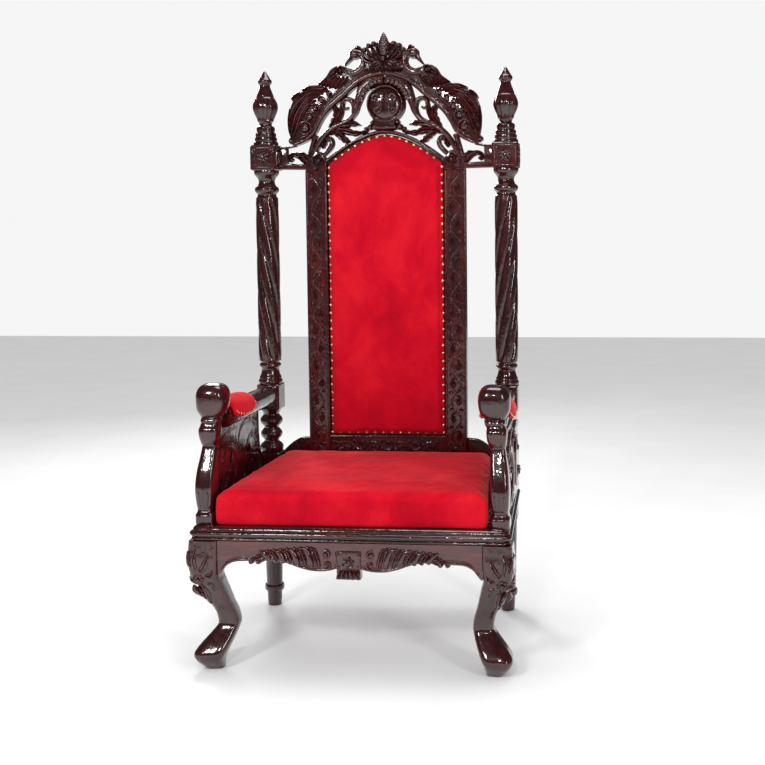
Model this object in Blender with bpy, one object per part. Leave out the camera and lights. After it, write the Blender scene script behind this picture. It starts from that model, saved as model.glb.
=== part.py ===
# Carved throne armchair: dark lacquered wood, red velvet cushions.
# Metres, +Z up. The front faces -Y, left is -X, and the origin is on the floor
# under the middle of the chair's box.

import math

import bmesh
import bpy

# Driving dimensions
overall_depth = 0.680
clearance = 0.0003

seat_top = 0.411
seat_board_thickness = 0.039
seat_half_width_front = 0.4445
seat_rear_taper = 0.0195
seat_corner_radius = 0.022

post_inset = 0.0635
post_lean = 0.020
post_sides = 12
seat_block_half = 0.034
seat_block_above = 0.092
seat_block_below = 0.111
arm_block_half = 0.036
top_block_half = 0.041
top_block_height = 0.0785
finial_height = 0.2325
finial_radius = 0.039
collar_height = 0.086
rope_radius = 0.0355
rope_groove = 0.0045
rope_start = 0.075
rope_turn = math.radians(240)
rope_levels = 7

arm_height = 0.249
arm_thickness = 0.062
arm_half_width = 0.033
arm_outset = 0.015
arm_panel_thickness = 0.026
knob_rise = 0.074

frame_height = 0.987
frame_half_width = 0.254
frame_thickness = 0.035
frame_back_offset = 0.025
stile_width = 0.067
bottom_rail_height = 0.149
pad_arch_rise = 0.0925
pad_arch_above_frame = 0.114
arch_power = 1.7
arch_steps = 14
rim_width = 0.013
lower_panel_thickness = 0.018

leg_top_width = 0.0805
knee_overhang = 0.0055
knee_relief = 0.006
apron_thickness = 0.026
apron_setback = 0.010
cushion_height = 0.089
cushion_side_margin = 0.0655
cushion_post_gap = 0.014
cushion_setback = 0.029
back_board_thickness = 0.010
back_pad_proud = 0.010

# Heights and places that follow from them
seat_underside = seat_top - seat_board_thickness
arm_underside = seat_top + arm_height
arm_top = arm_underside + arm_thickness
frame_top = seat_top + frame_height
top_block_low = frame_top + 0.003
top_block_high = top_block_low + top_block_height
front_y = -overall_depth / 2 + knee_relief
urn_height = top_block_high + 0.527 * finial_height
post_foot_y = overall_depth / 2 - finial_radius - post_lean * urn_height
board_nose_y = front_y + 0.001
seat_half_width_rear = seat_half_width_front - seat_rear_taper
post_half_spacing = seat_half_width_front - post_inset
arm_centre_x = post_half_spacing + arm_outset
knee_reach = seat_half_width_front + knee_overhang
cushion_half_front = seat_half_width_front - cushion_side_margin
cushion_half_back = post_half_spacing - seat_block_half - cushion_post_gap
pad_half_width = frame_half_width - stile_width
pad_foot = seat_top + bottom_rail_height
leg_top_outer = knee_reach - 0.0045
leg_top_inner = leg_top_outer - leg_top_width
arm_post_front = board_nose_y + 0.034
knob_back = board_nose_y + 0.142
seat_block_side = post_half_spacing + seat_block_half


def lean(height):
    """Depth of the posts' axis at a height."""
    return post_foot_y + post_lean * height


def back_place(across, up, out):
    """From a drawing of the back, seen from the front, to the leaning back."""
    return (across, lean(up) + frame_back_offset - out, up)


def front_place(across, up, out):
    """From a drawing of the front apron to its place; out is from its back face."""
    return (across, board_nose_y + apron_setback + apron_thickness - out, up)


def side_place(across, up, out):
    """From a drawing of the right-hand side, seen from outside; across runs to the back."""
    return (out, across, up)


def as_drawn(x, y, z):
    return (x, y, z)


def post_place(x, y, z):
    """A post drawn round the Z axis, moved to the right-hand corner and leaned."""
    return (post_half_spacing + x, lean(z) + y, z)


# Shapes: each function returns a closed solid as (corners, faces)

def spread(points, count):
    """Points at even steps along a smooth curve through the given points."""
    dense = []
    last = len(points) - 1
    for i in range(last):
        before = points[max(i - 1, 0)]
        start = points[i]
        end = points[i + 1]
        after = points[min(i + 2, last)]
        for step in range(12):
            t = step / 12
            dense.append(tuple(
                0.5 * (2 * b + (c - a) * t + (2 * a - 5 * b + 4 * c - d) * t * t
                       + (3 * b - a - 3 * c + d) * t ** 3)
                for a, b, c, d in zip(before, start, end, after)))
    dense.append(tuple(points[last]))
    walked = [0.0]
    for a, b in zip(dense, dense[1:]):
        walked.append(walked[-1] + math.dist(a, b))
    result = []
    index = 0
    for step in range(count):
        goal = walked[-1] * step / (count - 1)
        while index < len(dense) - 2 and walked[index + 1] < goal:
            index += 1
        part = (goal - walked[index]) / max(walked[index + 1] - walked[index], 1e-9)
        a, b = dense[index], dense[index + 1]
        result.append(tuple(p + (q - p) * part for p, q in zip(a, b)))
    return result


def loft(rings):
    """A solid through rings of the same number of corners, flat at both ends."""
    count = len(rings[0])
    corners = [corner for ring in rings for corner in ring]
    faces = []
    for level in range(len(rings) - 1):
        low = level * count
        for i in range(count):
            j = (i + 1) % count
            faces.append((low + i, low + j, low + count + j, low + count + i))
    faces.append(tuple(range(count)))
    faces.append(tuple(len(corners) - count + i for i in range(count)))
    return corners, faces


def prism(outline, low, high, bevel=0.0):
    """A flat outline given thickness from low to high, its front edge bevelled."""
    rings = [[(u, v, low) for u, v in outline]]
    if bevel:
        rings.append([(u, v, high - bevel) for u, v in outline])
        rings.append([(u, v, high) for u, v in inset(outline, bevel)])
    else:
        rings.append([(u, v, high) for u, v in outline])
    return loft(rings)


def inset(outline, distance):
    """The outline with each corner moved inwards along the bisector of its sides."""
    area = sum(a[0] * b[1] - b[0] * a[1] for a, b in zip(outline, outline[1:] + outline[:1]))
    turn = 1 if area > 0 else -1
    count = len(outline)
    moved = []
    for i, (u, v) in enumerate(outline):
        before = outline[i - 1]
        after = outline[(i + 1) % count]
        du, dv = after[0] - before[0], after[1] - before[1]
        length = math.hypot(du, dv) or 1.0
        moved.append((u - turn * dv / length * distance, v + turn * du / length * distance))
    return moved


def between(values, share):
    """The value at a share of the way along a list of values."""
    place = share * (len(values) - 1)
    index = min(int(place), len(values) - 2)
    return values[index] + (values[index + 1] - values[index]) * (place - index)


# Carved strokes start at slightly different depths, so that no two share a plane
sink = 0.00025

ridge_section = ((-1, 0), (0, 1), (1, 0))
band_section = ((-1, 0), (-0.55, 1), (0.55, 1), (1, 0))


def ribbon(points, widths, low, high, section=ridge_section, steps=6):
    """A carved band along a smooth curve, as wide as widths say from end to end."""
    path = spread(points, steps + 1)
    rings = []
    for i, (u, v) in enumerate(path):
        a = path[max(i - 1, 0)]
        b = path[min(i + 1, steps)]
        length = math.dist(a, b)
        nu, nv = -(b[1] - a[1]) / length, (b[0] - a[0]) / length
        half = max(between(widths, i / steps), 0.0009)
        rings.append([(u + nu * half * s, v + nv * half * s, low + (high - low) * h)
                      for s, h in section])
    return loft(rings)


def dome(u, v, radius, low, high, sides=6):
    """A round boss standing out from a carved face."""
    rings = []
    for share, rise in ((1.0, 0.0), (0.95, 0.66), (0.45, 1.0)):
        ring = []
        for i in range(sides):
            angle = math.tau * (i + 0.37) / sides
            ring.append((u + radius * share * math.cos(angle),
                         v + radius * share * math.sin(angle), low + (high - low) * rise))
        rings.append(ring)
    return loft(rings)


def mirrored(solid):
    """The same solid on the other side of the middle."""
    corners, faces = solid
    return [(-u, v, w) for u, v, w in corners], [tuple(reversed(face)) for face in faces]


def both_sides(solids):
    return solids + [mirrored(solid) for solid in solids]


# Blender objects

def material(name, colour, roughness, coat=0.0):
    made = bpy.data.materials.new(name)
    made.use_nodes = True
    shader = made.node_tree.nodes["Principled BSDF"]
    shader.inputs["Base Color"].default_value = (*colour, 1.0)
    shader.inputs["Roughness"].default_value = roughness
    shader.inputs["Metallic"].default_value = 0.0
    shader.inputs["Coat Weight"].default_value = coat
    made.diffuse_color = (*colour, 1.0)
    return made


def wood(name):
    return material(name + "_mahogany", (0.075, 0.012, 0.011), 0.28, coat=1.0)


def velvet(name):
    return material(name + "_velvet", (0.72, 0.004, 0.022), 0.85)


def raw_object(name, solid):
    corners, faces = solid
    mesh = bpy.data.meshes.new(name)
    mesh.from_pydata(corners, [], faces)
    work = bmesh.new()
    work.from_mesh(mesh)
    bmesh.ops.recalc_face_normals(work, faces=work.faces)
    work.to_mesh(mesh)
    work.free()
    made = bpy.data.objects.new(name, mesh)
    bpy.context.scene.collection.objects.link(made)
    return made


def combine(body, others, operation):
    """The body joined with the others, or cut by them, one after another."""
    for other in others:
        step = body.modifiers.new(operation.lower(), "BOOLEAN")
        step.operation = operation
        step.solver = "EXACT"
        step.object = other
        ready = body.evaluated_get(bpy.context.evaluated_depsgraph_get())
        mesh = bpy.data.meshes.new_from_object(ready)
        body.modifiers.remove(step)
        body.data = mesh
        bpy.data.objects.remove(other)


def tidy(mesh):
    """Weld the crumbs that a union leaves, and shade the rounded stretches smooth."""
    work = bmesh.new()
    work.from_mesh(mesh)
    bmesh.ops.remove_doubles(work, verts=work.verts, dist=0.00004)
    bmesh.ops.dissolve_degenerate(work, edges=work.edges, dist=0.00004)
    bmesh.ops.dissolve_limit(work, angle_limit=math.radians(0.4), verts=work.verts,
                             edges=work.edges)
    loose = [edge for edge in work.edges if not edge.link_faces]
    bmesh.ops.delete(work, geom=loose, context="EDGES")
    work.to_mesh(mesh)
    work.free()
    mesh.shade_smooth()
    mesh.set_sharp_from_angle(angle=math.radians(38))


def put_in_place(mesh, place):
    """Move the drawn corners to their place, faces still outwards in a mirror image."""
    work = bmesh.new()
    work.from_mesh(mesh)
    for corner in work.verts:
        corner.co = place(*corner.co)
    if work.calc_volume(signed=True) < 0:
        bmesh.ops.reverse_faces(work, faces=work.faces)
    work.to_mesh(mesh)
    work.free()


def build(name, solids, place, finish, cutters=()):
    """One named piece: its solids made one as drawn, cut by the cutters, put in place."""
    parts = [raw_object(f"{name}_{i}", solid) for i, solid in enumerate(solids)]
    body = parts[0]
    if parts[1:]:
        combine(body, parts[1:], "UNION")
    if cutters:
        cuts = [raw_object(f"{name}_cut_{i}", solid) for i, solid in enumerate(cutters)]
        combine(body, cuts, "DIFFERENCE")
    body.name = name
    body.data.name = name
    put_in_place(body.data, place)
    tidy(body.data)
    body.data.materials.clear()
    body.data.materials.append(finish(name))
    return body


def build_pair(name, solids, place, finish, cutters=()):
    """The right-hand piece, and its mirror image on the left."""
    build(name + "_right", solids, place, finish, cutters)

    def other_side(*corner):
        x, y, z = place(*corner)
        return (-x, y, z)

    build(name + "_left", solids, other_side, finish, cutters)


# Rear posts

def post_angles(turn):
    return [math.tau * (i + 0.5) / post_sides + turn for i in range(post_sides)]


def round_ring(radius, height, turn=0.0, groove=0.0):
    """A ring of a turned piece; with a groove, every other corner lies deeper."""
    ring = []
    for i, angle in enumerate(post_angles(turn)):
        reach = radius - (groove if i % 2 else 0.0)
        ring.append((reach * math.cos(angle), reach * math.sin(angle), height))
    return ring


def square_ring(half, height, turn=0.0):
    ring = []
    for angle in post_angles(turn):
        c, s = math.cos(angle), math.sin(angle)
        reach = half / max(abs(c), abs(s))
        ring.append((reach * c, reach * s, height))
    return ring


def turned(low, high, profile, turn=0.0):
    """Rings between two heights from (share of the way up, radius) pairs."""
    return [round_ring(radius, low + (high - low) * share, turn) for share, radius in profile]


leg_turning = ((0.0, 0.022), (0.12, 0.0235), (0.18, 0.031), (0.25, 0.0255), (0.97, 0.030))
baluster_turning = ((0.03, 0.031), (0.14, 0.037), (0.27, 0.0245), (0.43, 0.0345),
                    (0.58, 0.024), (0.76, 0.0355), (0.93, 0.026))
foot_turning = ((0.04, 0.033), (0.13, 0.0375), (0.55, 0.0285), (0.75, 0.033), (0.94, 0.029))
collar_turning = ((0.12, 0.029), (0.29, 0.0377), (0.46, 0.027), (0.62, 0.025),
                  (0.87, 0.038))
finial_turning = ((0.03, 0.0366), (0.13, 0.0305), (0.245, 0.0285), (0.285, 0.0195),
                  (0.335, 0.025))
spire_turning = ((0.67, 0.027), (0.80, 0.0165), (0.86, 0.0214),
                 (1.0, 0.0025))
urn_turning = ((0.43, 0.93), (0.527, 1.0), (0.60, 0.86))


def rear_post():
    seat_block_low = seat_top - seat_block_below
    seat_block_high = seat_top + seat_block_above
    arm_block_low = arm_underside - 0.020
    arm_block_high = arm_top + 0.0015
    rope_low = arm_block_high + rope_start
    rope_high = top_block_low - collar_height
    finial_top = top_block_high + finial_height
    rings = turned(0.0, seat_block_low, leg_turning)
    rings += [square_ring(seat_block_half, seat_block_low),
              square_ring(seat_block_half, seat_block_high)]
    rings += turned(seat_block_high, arm_block_low, baluster_turning)
    rings += [square_ring(arm_block_half, arm_block_low),
              square_ring(arm_block_half, arm_block_high)]
    rings += turned(arm_block_high, rope_low, foot_turning)
    for level in range(rope_levels + 1):
        share = level / rope_levels
        rings.append(round_ring(rope_radius, rope_low + (rope_high - rope_low) * share,
                                turn=rope_turn * share, groove=rope_groove))
    rings += turned(rope_high, top_block_low, collar_turning, rope_turn)
    rings += [square_ring(top_block_half, top_block_low, rope_turn),
              square_ring(top_block_half, top_block_high, rope_turn)]
    rings += turned(top_block_high, finial_top, finial_turning, rope_turn)
    for share, size in urn_turning:
        height = top_block_high + (finial_top - top_block_high) * share
        rings.append(round_ring(finial_radius * size, height, rope_turn, groove=0.004))
    rings += turned(top_block_high, finial_top, spire_turning, rope_turn)
    return loft(rings)


# Front legs

leg_profile = (
    # share of the leg's height, outer reach from the knee's reach, width of the leg
    (1.0, leg_top_outer - knee_reach, leg_top_width), (0.93, -0.0025, 0.0825), (0.84, 0.0, 0.085),
    (0.735, leg_top_outer - knee_reach, leg_top_width),
    (0.685, -0.010, 0.080), (0.60, -0.027, 0.0705), (0.50, -0.043, 0.0635),
    (0.42, -0.0555, 0.060), (0.345, -0.0605, 0.0595), (0.305, -0.0565, 0.062),
    (0.24, -0.036, 0.075), (0.18, -0.017, 0.085), (0.13, -0.007, 0.087), (0.08, -0.013, 0.073),
    (0.03, -0.028, 0.054), (0.0, -0.037, 0.044))
leg_chamfer = 0.17


def front_leg():
    height = seat_underside - clearance
    to_front = knee_reach + front_y
    rings = []
    for share, reach, width in leg_profile:
        outer = knee_reach + reach
        middle = outer - width / 2
        half = width / 2
        cut = half * (1 - 2 * leg_chamfer)
        ring = [(half, -cut), (half, cut), (cut, half), (-cut, half),
                (-half, cut), (-half, -cut), (-cut, -half), (cut, -half)]
        rings.append([(middle + u, -(middle - to_front) + v, height * share) for u, v in ring])
    return loft(rings)


def leg_face(height):
    """Outer reach of the leg at a height, the same to the side and to the front."""
    share = height / (seat_underside - clearance)
    for (high, reach_high, _), (low, reach_low, _) in zip(leg_profile, leg_profile[1:]):
        if low <= share <= high:
            part = (share - low) / (high - low)
            return knee_reach + reach_low + (reach_high - reach_low) * part
    return knee_reach + leg_profile[0][1]


def knee_carving():
    """A flower and three leaves on the front of the knee, near its outer corner."""
    height = seat_underside
    flower = (knee_reach - 0.030, height * 0.72)
    drawn = [dome(*flower, 0.012, -0.012, knee_relief + 0.003, sides=5)]
    for i in range(5):
        angle = math.tau * i / 5 + 0.5
        tip = (flower[0] + 0.023 * math.cos(angle), flower[1] + 0.023 * math.sin(angle))
        drawn.append(ribbon([flower, tip], [0.005, 0.009], -0.012, knee_relief, steps=1))
    for root, middle, tip in (
            ((-0.040, 0.78), (-0.056, 0.84), (-0.068, 0.92)),
            ((-0.026, 0.80), (-0.022, 0.88), (-0.030, 0.95)),
            ((-0.036, 0.64), (-0.046, 0.57), (-0.052, 0.49))):
        path = [(knee_reach + x, height * z) for x, z in (root, middle, tip)]
        drawn.append(ribbon(path, [0.006, 0.010, 0.001], -0.012, knee_relief, steps=2))
    front = knee_reach + front_y
    return [([(x, front - leg_face(z) - out, z) for x, z, out in corners], faces)
            for corners, faces in drawn]


# Seat

def seat_outline(step):
    """The board's outline, its moulded front and sides drawn in by step."""
    rear_y = lean(seat_top) + frame_back_offset
    notch_y = lean(seat_underside) - seat_block_half - clearance
    notch_x = post_half_spacing - seat_block_half - clearance
    radius = seat_corner_radius
    corner_x = seat_half_width_front - step - radius
    corner_y = board_nose_y + step + radius
    half = []
    for i in range(4):
        angle = math.radians(-90 + 30 * i)
        half.append((corner_x + radius * math.cos(angle), corner_y + radius * math.sin(angle)))
    half += [(seat_half_width_rear - step, notch_y), (notch_x, notch_y), (notch_x, rear_y)]
    return half + [(-x, y) for x, y in reversed(half)]


def seat_board():
    steps = ((0.0, 0.010), (0.13, 0.006), (0.25, 0.011), (0.34, 0.002), (0.50, 0.0),
             (0.64, 0.003), (0.78, 0.010), (1.0, 0.014))
    rings = []
    for share, step in steps:
        height = seat_underside + seat_board_thickness * share
        rings.append([(x, y, height) for x, y in seat_outline(step)])
    return loft(rings)


def seat_cushion():
    """A boxed cushion, wider in front, its corners and edges softened."""
    low = seat_top + clearance
    front = board_nose_y + cushion_setback
    back = lean(seat_top) + frame_back_offset - frame_thickness - 0.0015
    soft = 0.012
    rings = []
    for share, pull in ((0.0, 0.006), (0.1, 0.0), (0.88, 0.0), (0.97, 0.005), (1.0, 0.014)):
        height = low + cushion_height * share
        front_x = cushion_half_front - pull
        back_x = cushion_half_back - pull
        half = [(front_x - soft, front + pull, height), (front_x, front + pull + soft, height),
                (back_x, back - pull - soft, height), (back_x - soft, back - pull, height)]
        rings.append(half + [(-x, y, z) for x, y, z in reversed(half)])
    return loft(rings)


# Aprons

apron_edge = (
    # across as a share of the half width, drop below the seat board
    (1.0, -0.097), (0.974, -0.088), (0.946, -0.073), (0.905, -0.062), (0.858, -0.056),
    (0.768, -0.054), (0.64, -0.052), (0.55, -0.0515), (0.46, -0.059), (0.375, -0.070),
    (0.29, -0.0775), (0.21, -0.079), (0.14, -0.076), (0.0945, -0.071), (0.0945, -0.087),
    (0.083, -0.100), (0.0, -0.104))


def front_apron():
    half = leg_top_inner - clearance
    top = seat_underside - clearance

    def at(x, drop):
        return (x, top + drop)

    edge = [at(half * share, drop) for share, drop in apron_edge]
    outline = [at(half, 0.0)] + edge + [(-x, z) for x, z in reversed(edge[:-1])]
    outline.append(at(-half, 0.0))
    face = apron_thickness
    solids = [prism(outline, 0.0, face)]
    carved = []
    for i in range(5):
        share = i / 4
        x = 0.088 + 0.130 * share
        tall = 0.021 - 0.009 * share
        path = [at(x + 0.020, -0.012 - 0.010 * share), at(x, -0.022 - 0.010 * share),
                at(x - 0.006, -0.031 - tall - 0.010 * (1 - share))]
        carved.append(ribbon(path, [0.003, 0.0115, 0.008], face - 0.010 - sink * i,
                             face + 0.009 - 0.003 * share, steps=2))
    for x, drop, radius in ((0.057, -0.033, 0.010), (0.058, -0.061, 0.011),
                            (0.271, -0.056, 0.0085), (0.251, -0.056, 0.0085)):
        carved.append(dome(*at(x, drop), radius, face - 0.012 - sink * len(carved),
                           face + 0.008, sides=5))
    solids += both_sides(carved)
    square = [at(-0.034, -0.025), at(0.034, -0.025), at(0.031, -0.070), at(-0.031, -0.070)]
    solids.append(prism(square, 0.004, face + 0.005))
    solids.append(dome(*at(0.0, -0.056), 0.016, face - 0.010, face + 0.015))
    for i in range(3):
        x = 0.021 * (i - 1)
        path = [at(x * 0.4, -0.070), at(x, -0.086), at(x * 1.12, -0.102)]
        solids.append(ribbon(path, [0.005, 0.010, 0.008], face - 0.013 - sink * i, face + 0.009,
                             steps=2))
    return solids


def side_apron():
    low_y = front_y + knee_reach - leg_top_inner + clearance
    high_y = lean(seat_underside - 0.09) - seat_block_half - clearance
    top = seat_underside - clearance
    span = high_y - low_y
    edge = ((1.0, -0.062), (0.9, -0.056), (0.72, -0.055), (0.5, -0.070), (0.28, -0.055),
            (0.1, -0.058), (0.0, -0.088))
    outline = [(low_y, top), (high_y, top)]
    outline += [(low_y + span * share, top + drop) for share, drop in edge]
    outer = seat_block_side - 0.002
    return prism(outline, outer - 0.022, outer, bevel=0.002)


def rear_apron():
    half = post_half_spacing - seat_block_half - clearance
    top = seat_underside - clearance
    outline = [(half, top), (half, top - 0.062), (-half, top - 0.062), (-half, top)]
    return prism(outline, 0.004, 0.026)


# Arms

arm_post_profile = (
    # share of the height to the knob's top, centre x from the arm's, half width, then how far
    # the front and the back lie behind the front of the post's base
    (0, 0.019, 0.0275, 0, 0.071), (0.065, 0.019, 0.0275, 0, 0.071),
    (0.105, 0.02, 0.0225, 0.009, 0.067), (0.17, 0.019, 0.025, 0.003, 0.07),
    (0.27, 0.019, 0.0265, 0, 0.074), (0.37, 0.017, 0.0255, 0.01, 0.074),
    (0.47, 0.014, 0.0225, 0.027, 0.074), (0.55, 0.012, 0.0205, 0.038, 0.074),
    (0.6, 0.01, 0.0255, 0.028, 0.077), (0.66, 0.0095, 0.0275, 0.021, 0.079),
    (0.72, 0.0075, 0.0245, 0.029, 0.081), (0.765, 0.005, 0.0265, 0.035, 0.085),
    (0.8, 0.003, 0.039, 0.022, 0.095), (0.86, 0.002, 0.0438, 0.016, 0.105),
    (0.93, 0.002, 0.0425, 0.018, 0.107), (0.98, 0.002, 0.033, 0.03, 0.096),
    (1, 0.002, 0.017, 0.047, 0.079))


def rounded_ring(cx, cy, half_x, half_y, height, sides=8, power=3.2):
    ring = []
    for i in range(sides):
        angle = math.tau * (i + 0.5) / sides
        c, s = math.cos(angle), math.sin(angle)
        reach = (abs(c) ** power + abs(s) ** power) ** (-1 / power)
        ring.append((cx + half_x * reach * c, cy + half_y * reach * s, height))
    return ring


def arm_post():
    low = seat_top + clearance
    height = arm_top + knob_rise - low
    rings = []
    for share, x, half, front, back in arm_post_profile:
        rings.append(rounded_ring(arm_centre_x + x, arm_post_front + (front + back) / 2, half,
                                  (back - front) / 2, low + height * share))
    return loft(rings)


def arm_rest(grow=0.0):
    """The beam of the arm, oval in section, from the knob to the post's block."""
    rear = lean(arm_underside) - arm_block_half - clearance
    middle = arm_underside + arm_thickness / 2
    start = knob_back + clearance
    rings = []
    for share, wide, tall in ((0.0, 0.94, 0.94), (0.04, 1.0, 1.0), (0.6, 0.97, 0.98),
                              (0.97, 0.90, 0.94), (1.0, 0.87, 0.90)):
        x = arm_centre_x + (post_half_spacing - arm_centre_x) * share
        y = start + (rear - start) * share
        ring = rounded_ring(x, middle, arm_half_width * wide + grow,
                            arm_thickness / 2 * tall + grow, y, power=3.0)
        rings.append([(u, w, v) for u, v, w in ring])
    return loft(rings)


def arm_pad():
    """A saddle over the arm: rounded at both ends, its sides hanging as lobes."""
    half_length = 0.094
    middle_y = knob_back + 0.011 + half_length
    middle_z = arm_top - 0.001
    rings = []
    for i in range(9):
        angle = math.pi * (i + 0.25) / 8.5
        size = math.sin(angle) ** 0.55
        y = middle_y - half_length * math.cos(angle)
        ring = rounded_ring(arm_centre_x, middle_z, 0.0485 * size, 0.043 * size, y,
                            power=2.3)
        rings.append([(u, w, v) for u, v, w in ring])
    return loft(rings)


def arm_panel():
    """The pierced panel under the arm: its board, its carving and its openings."""
    low = seat_top + clearance
    high = arm_underside - clearance - 0.0005
    front = arm_post_front + 0.080
    rear = lean(seat_top) - seat_block_half - clearance
    middle = (front + rear) / 2
    inner = arm_centre_x
    outer = inner + arm_panel_thickness
    edge = high - low
    outline = [(front, low), (rear, low), (rear, low + 0.30 * edge)]
    for share, rise in ((0.30, 0.345), (0.62, 0.42), (0.86, 0.55), (1.0, 0.70)):
        outline.append((rear - 0.052 * share, low + rise * edge))
    outline += [(rear - 0.052, high), (front, high)]
    solids = [prism(outline, inner, outer)]
    # Carved lines and openings, as shares of the panel's length and height
    swirls = (
        ((-0.46, 0.10), (-0.24, 0.20), (-0.09, 0.50), (-0.285, 0.74), (-0.37, 0.56)),
        ((0.385, 0.12), (0.19, 0.20), (0.08, 0.48), (0.21, 0.72), (0.30, 0.55)),
        ((-0.46, 0.30), (-0.425, 0.60), (-0.35, 0.86), (-0.155, 0.90)),
        ((0.34, 0.80), (0.147, 0.90), (-0.07, 0.80), (-0.113, 0.62)))
    for swirl in swirls:
        path = [(middle + y * (rear - front), low + z * edge) for y, z in swirl]
        solids.append(ribbon(path, [0.005, 0.011, 0.010, 0.004], outer - 0.008, outer + 0.007,
                             steps=4))
    cutters = []
    for y, z, size, tilt in ((-0.35, 0.34, 0.13, 0.5), (0.022, 0.34, 0.145, 1.5),
                             (-0.21, 0.58, 0.097, 1.2), (0.158, 0.58, 0.097, -0.8),
                             (0.245, 0.34, 0.105, 2.4)):
        ring = []
        for i in range(6):
            angle = math.tau * i / 6
            u, v = size * edge * math.cos(angle), 0.5 * size * edge * math.sin(angle)
            ring.append((middle + y * (rear - front) + u * math.cos(tilt) - v * math.sin(tilt),
                         low + z * edge + u * math.sin(tilt) + v * math.cos(tilt)))
        cutters.append(prism(ring, inner - 0.02, outer + 0.03))
    return solids, cutters


# Back

def arch_height(x):
    """The arched top edge of the pad's opening, measured at x from the middle."""
    share = min(abs(x) / pad_half_width, 1.0)
    return frame_top + pad_arch_above_frame - pad_arch_rise * share ** arch_power


def arch_points(move):
    """The arch from right to left, moved outwards, or inwards where move is negative."""
    points = []
    for i in range(arch_steps + 1):
        x = pad_half_width * math.cos(math.pi * i / arch_steps)
        slope = arch_power * pad_arch_rise / pad_half_width
        slope *= (abs(x) / pad_half_width) ** (arch_power - 1)
        side = math.copysign(slope / math.hypot(1.0, slope), x)
        points.append((x + side * move, arch_height(x) + move / math.hypot(1.0, slope)))
    return points


def vine(low, high, centre, swing, face, waves):
    """A running scroll: a waving stem with a curled leaf in each bend."""
    count = 2 * waves
    points = [(centre + swing * math.sin(math.pi * i), low + (high - low) * i / count)
              for i in (0.5 * k for k in range(2 * count + 1))]
    solids = [ribbon(points, [0.0035, 0.0035], face - 0.006, face + 0.004, steps=2 * count)]
    for i in range(count):
        side = 1 if i % 2 == 0 else -1
        z = low + (high - low) * (i + 0.5) / count
        reach = (high - low) / count
        x = centre + side * swing
        path = [(x, z - 0.1 * reach), (x - side * 1.1 * swing, z + 0.18 * reach),
                (x - side * 1.7 * swing, z + 0.02 * reach), (x - side * 1.2 * swing, z - 0.2 * reach)]
        solids.append(ribbon(path, [0.003, 0.008, 0.002], face - 0.0065, face + 0.005,
                             steps=3))
    return solids


def back_stile():
    low = seat_top + clearance
    outline = [(pad_half_width, low), (frame_half_width, low), (frame_half_width, frame_top),
               (pad_half_width, frame_top)]
    solids = [prism(outline, 0.0, frame_thickness)]
    centre = (pad_half_width + frame_half_width) / 2
    return solids + vine(pad_foot - 0.02, frame_top - 0.01, centre, 0.014, frame_thickness, 4)


def back_bottom_rail():
    low = seat_top + clearance
    half = pad_half_width - clearance
    outline = [(-half, low), (half, low), (half, pad_foot), (-half, pad_foot)]
    solids = [prism(outline, 0.0, frame_thickness)]
    for piece in vine(-half + 0.01, half - 0.01, 0.0, 0.011, frame_thickness, 3):
        corners, faces = piece
        turned_corners = [(v, pad_foot - 0.034 - u, w) for u, v, w in corners]
        solids.append((turned_corners, faces))
    return solids


def opening_outline(margin):
    """The pad's opening drawn in by a margin, arched on top."""
    half = pad_half_width - margin
    arch = [(max(-half, min(half, x)), z) for x, z in arch_points(-margin)]
    return [(-half, pad_foot + margin), (half, pad_foot + margin)] + arch


def back_board():
    return prism(opening_outline(clearance), 0.001, 0.001 + back_board_thickness)


def back_pad():
    low = 0.001 + back_board_thickness + clearance
    rings = []
    for margin, out in ((clearance, low), (clearance, frame_thickness - 0.004),
                        (0.005, frame_thickness + 0.002), (0.022, frame_thickness + 0.008),
                        (0.070, frame_thickness + back_pad_proud)):
        rings.append([(x, z, out) for x, z in opening_outline(margin)])
    return loft(rings)


def lower_panel():
    low = seat_top + clearance
    inner = frame_half_width + clearance
    outer = post_half_spacing - seat_block_half - clearance
    outline = [(inner, low), (outer, low)]
    for share, rise in ((1.0, 0.088), (0.84, 0.105), (0.62, 0.122), (0.36, 0.135), (0.0, 0.139)):
        outline.append((inner + (outer - inner) * share, seat_top + rise))
    return prism(outline, 0.006, 0.006 + lower_panel_thickness, bevel=0.002)


# Crest, drawn as across and height above the frame's top

crest_thickness = 0.034
crest_overhang = 0.0857

crest_top_edge = (
    (0.0, 0.383), (0.024, 0.396), (0.052, 0.384), (0.066, 0.358), (0.064, 0.3265), (0.115, 0.3225),
    (0.134, 0.3305), (0.154, 0.316), (0.176, 0.291), (0.200, 0.276), (0.230, 0.264),
    (0.2525, 0.255), (0.272, 0.243), (0.2875, 0.225), (0.299, 0.205), (0.304, 0.175),
    (0.302, 0.130), (0.299, 0.104), (0.291, 0.079))
crest_under_edge = (
    (0.291, 0.079), (0.270, 0.084), (0.245, 0.096), (0.224, 0.115), (0.208, 0.148),
    (0.186, 0.180), (0.156, 0.208), (0.121, 0.236), (0.104, 0.257), (0.080, 0.273),
    (0.050, 0.287), (0.0, 0.297))
berry_row = ((0.180, 0.234, 0.0085), (0.203, 0.211, 0.010), (0.224, 0.184, 0.011),
             (0.243, 0.155, 0.012), (0.258, 0.124, 0.013))


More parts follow.
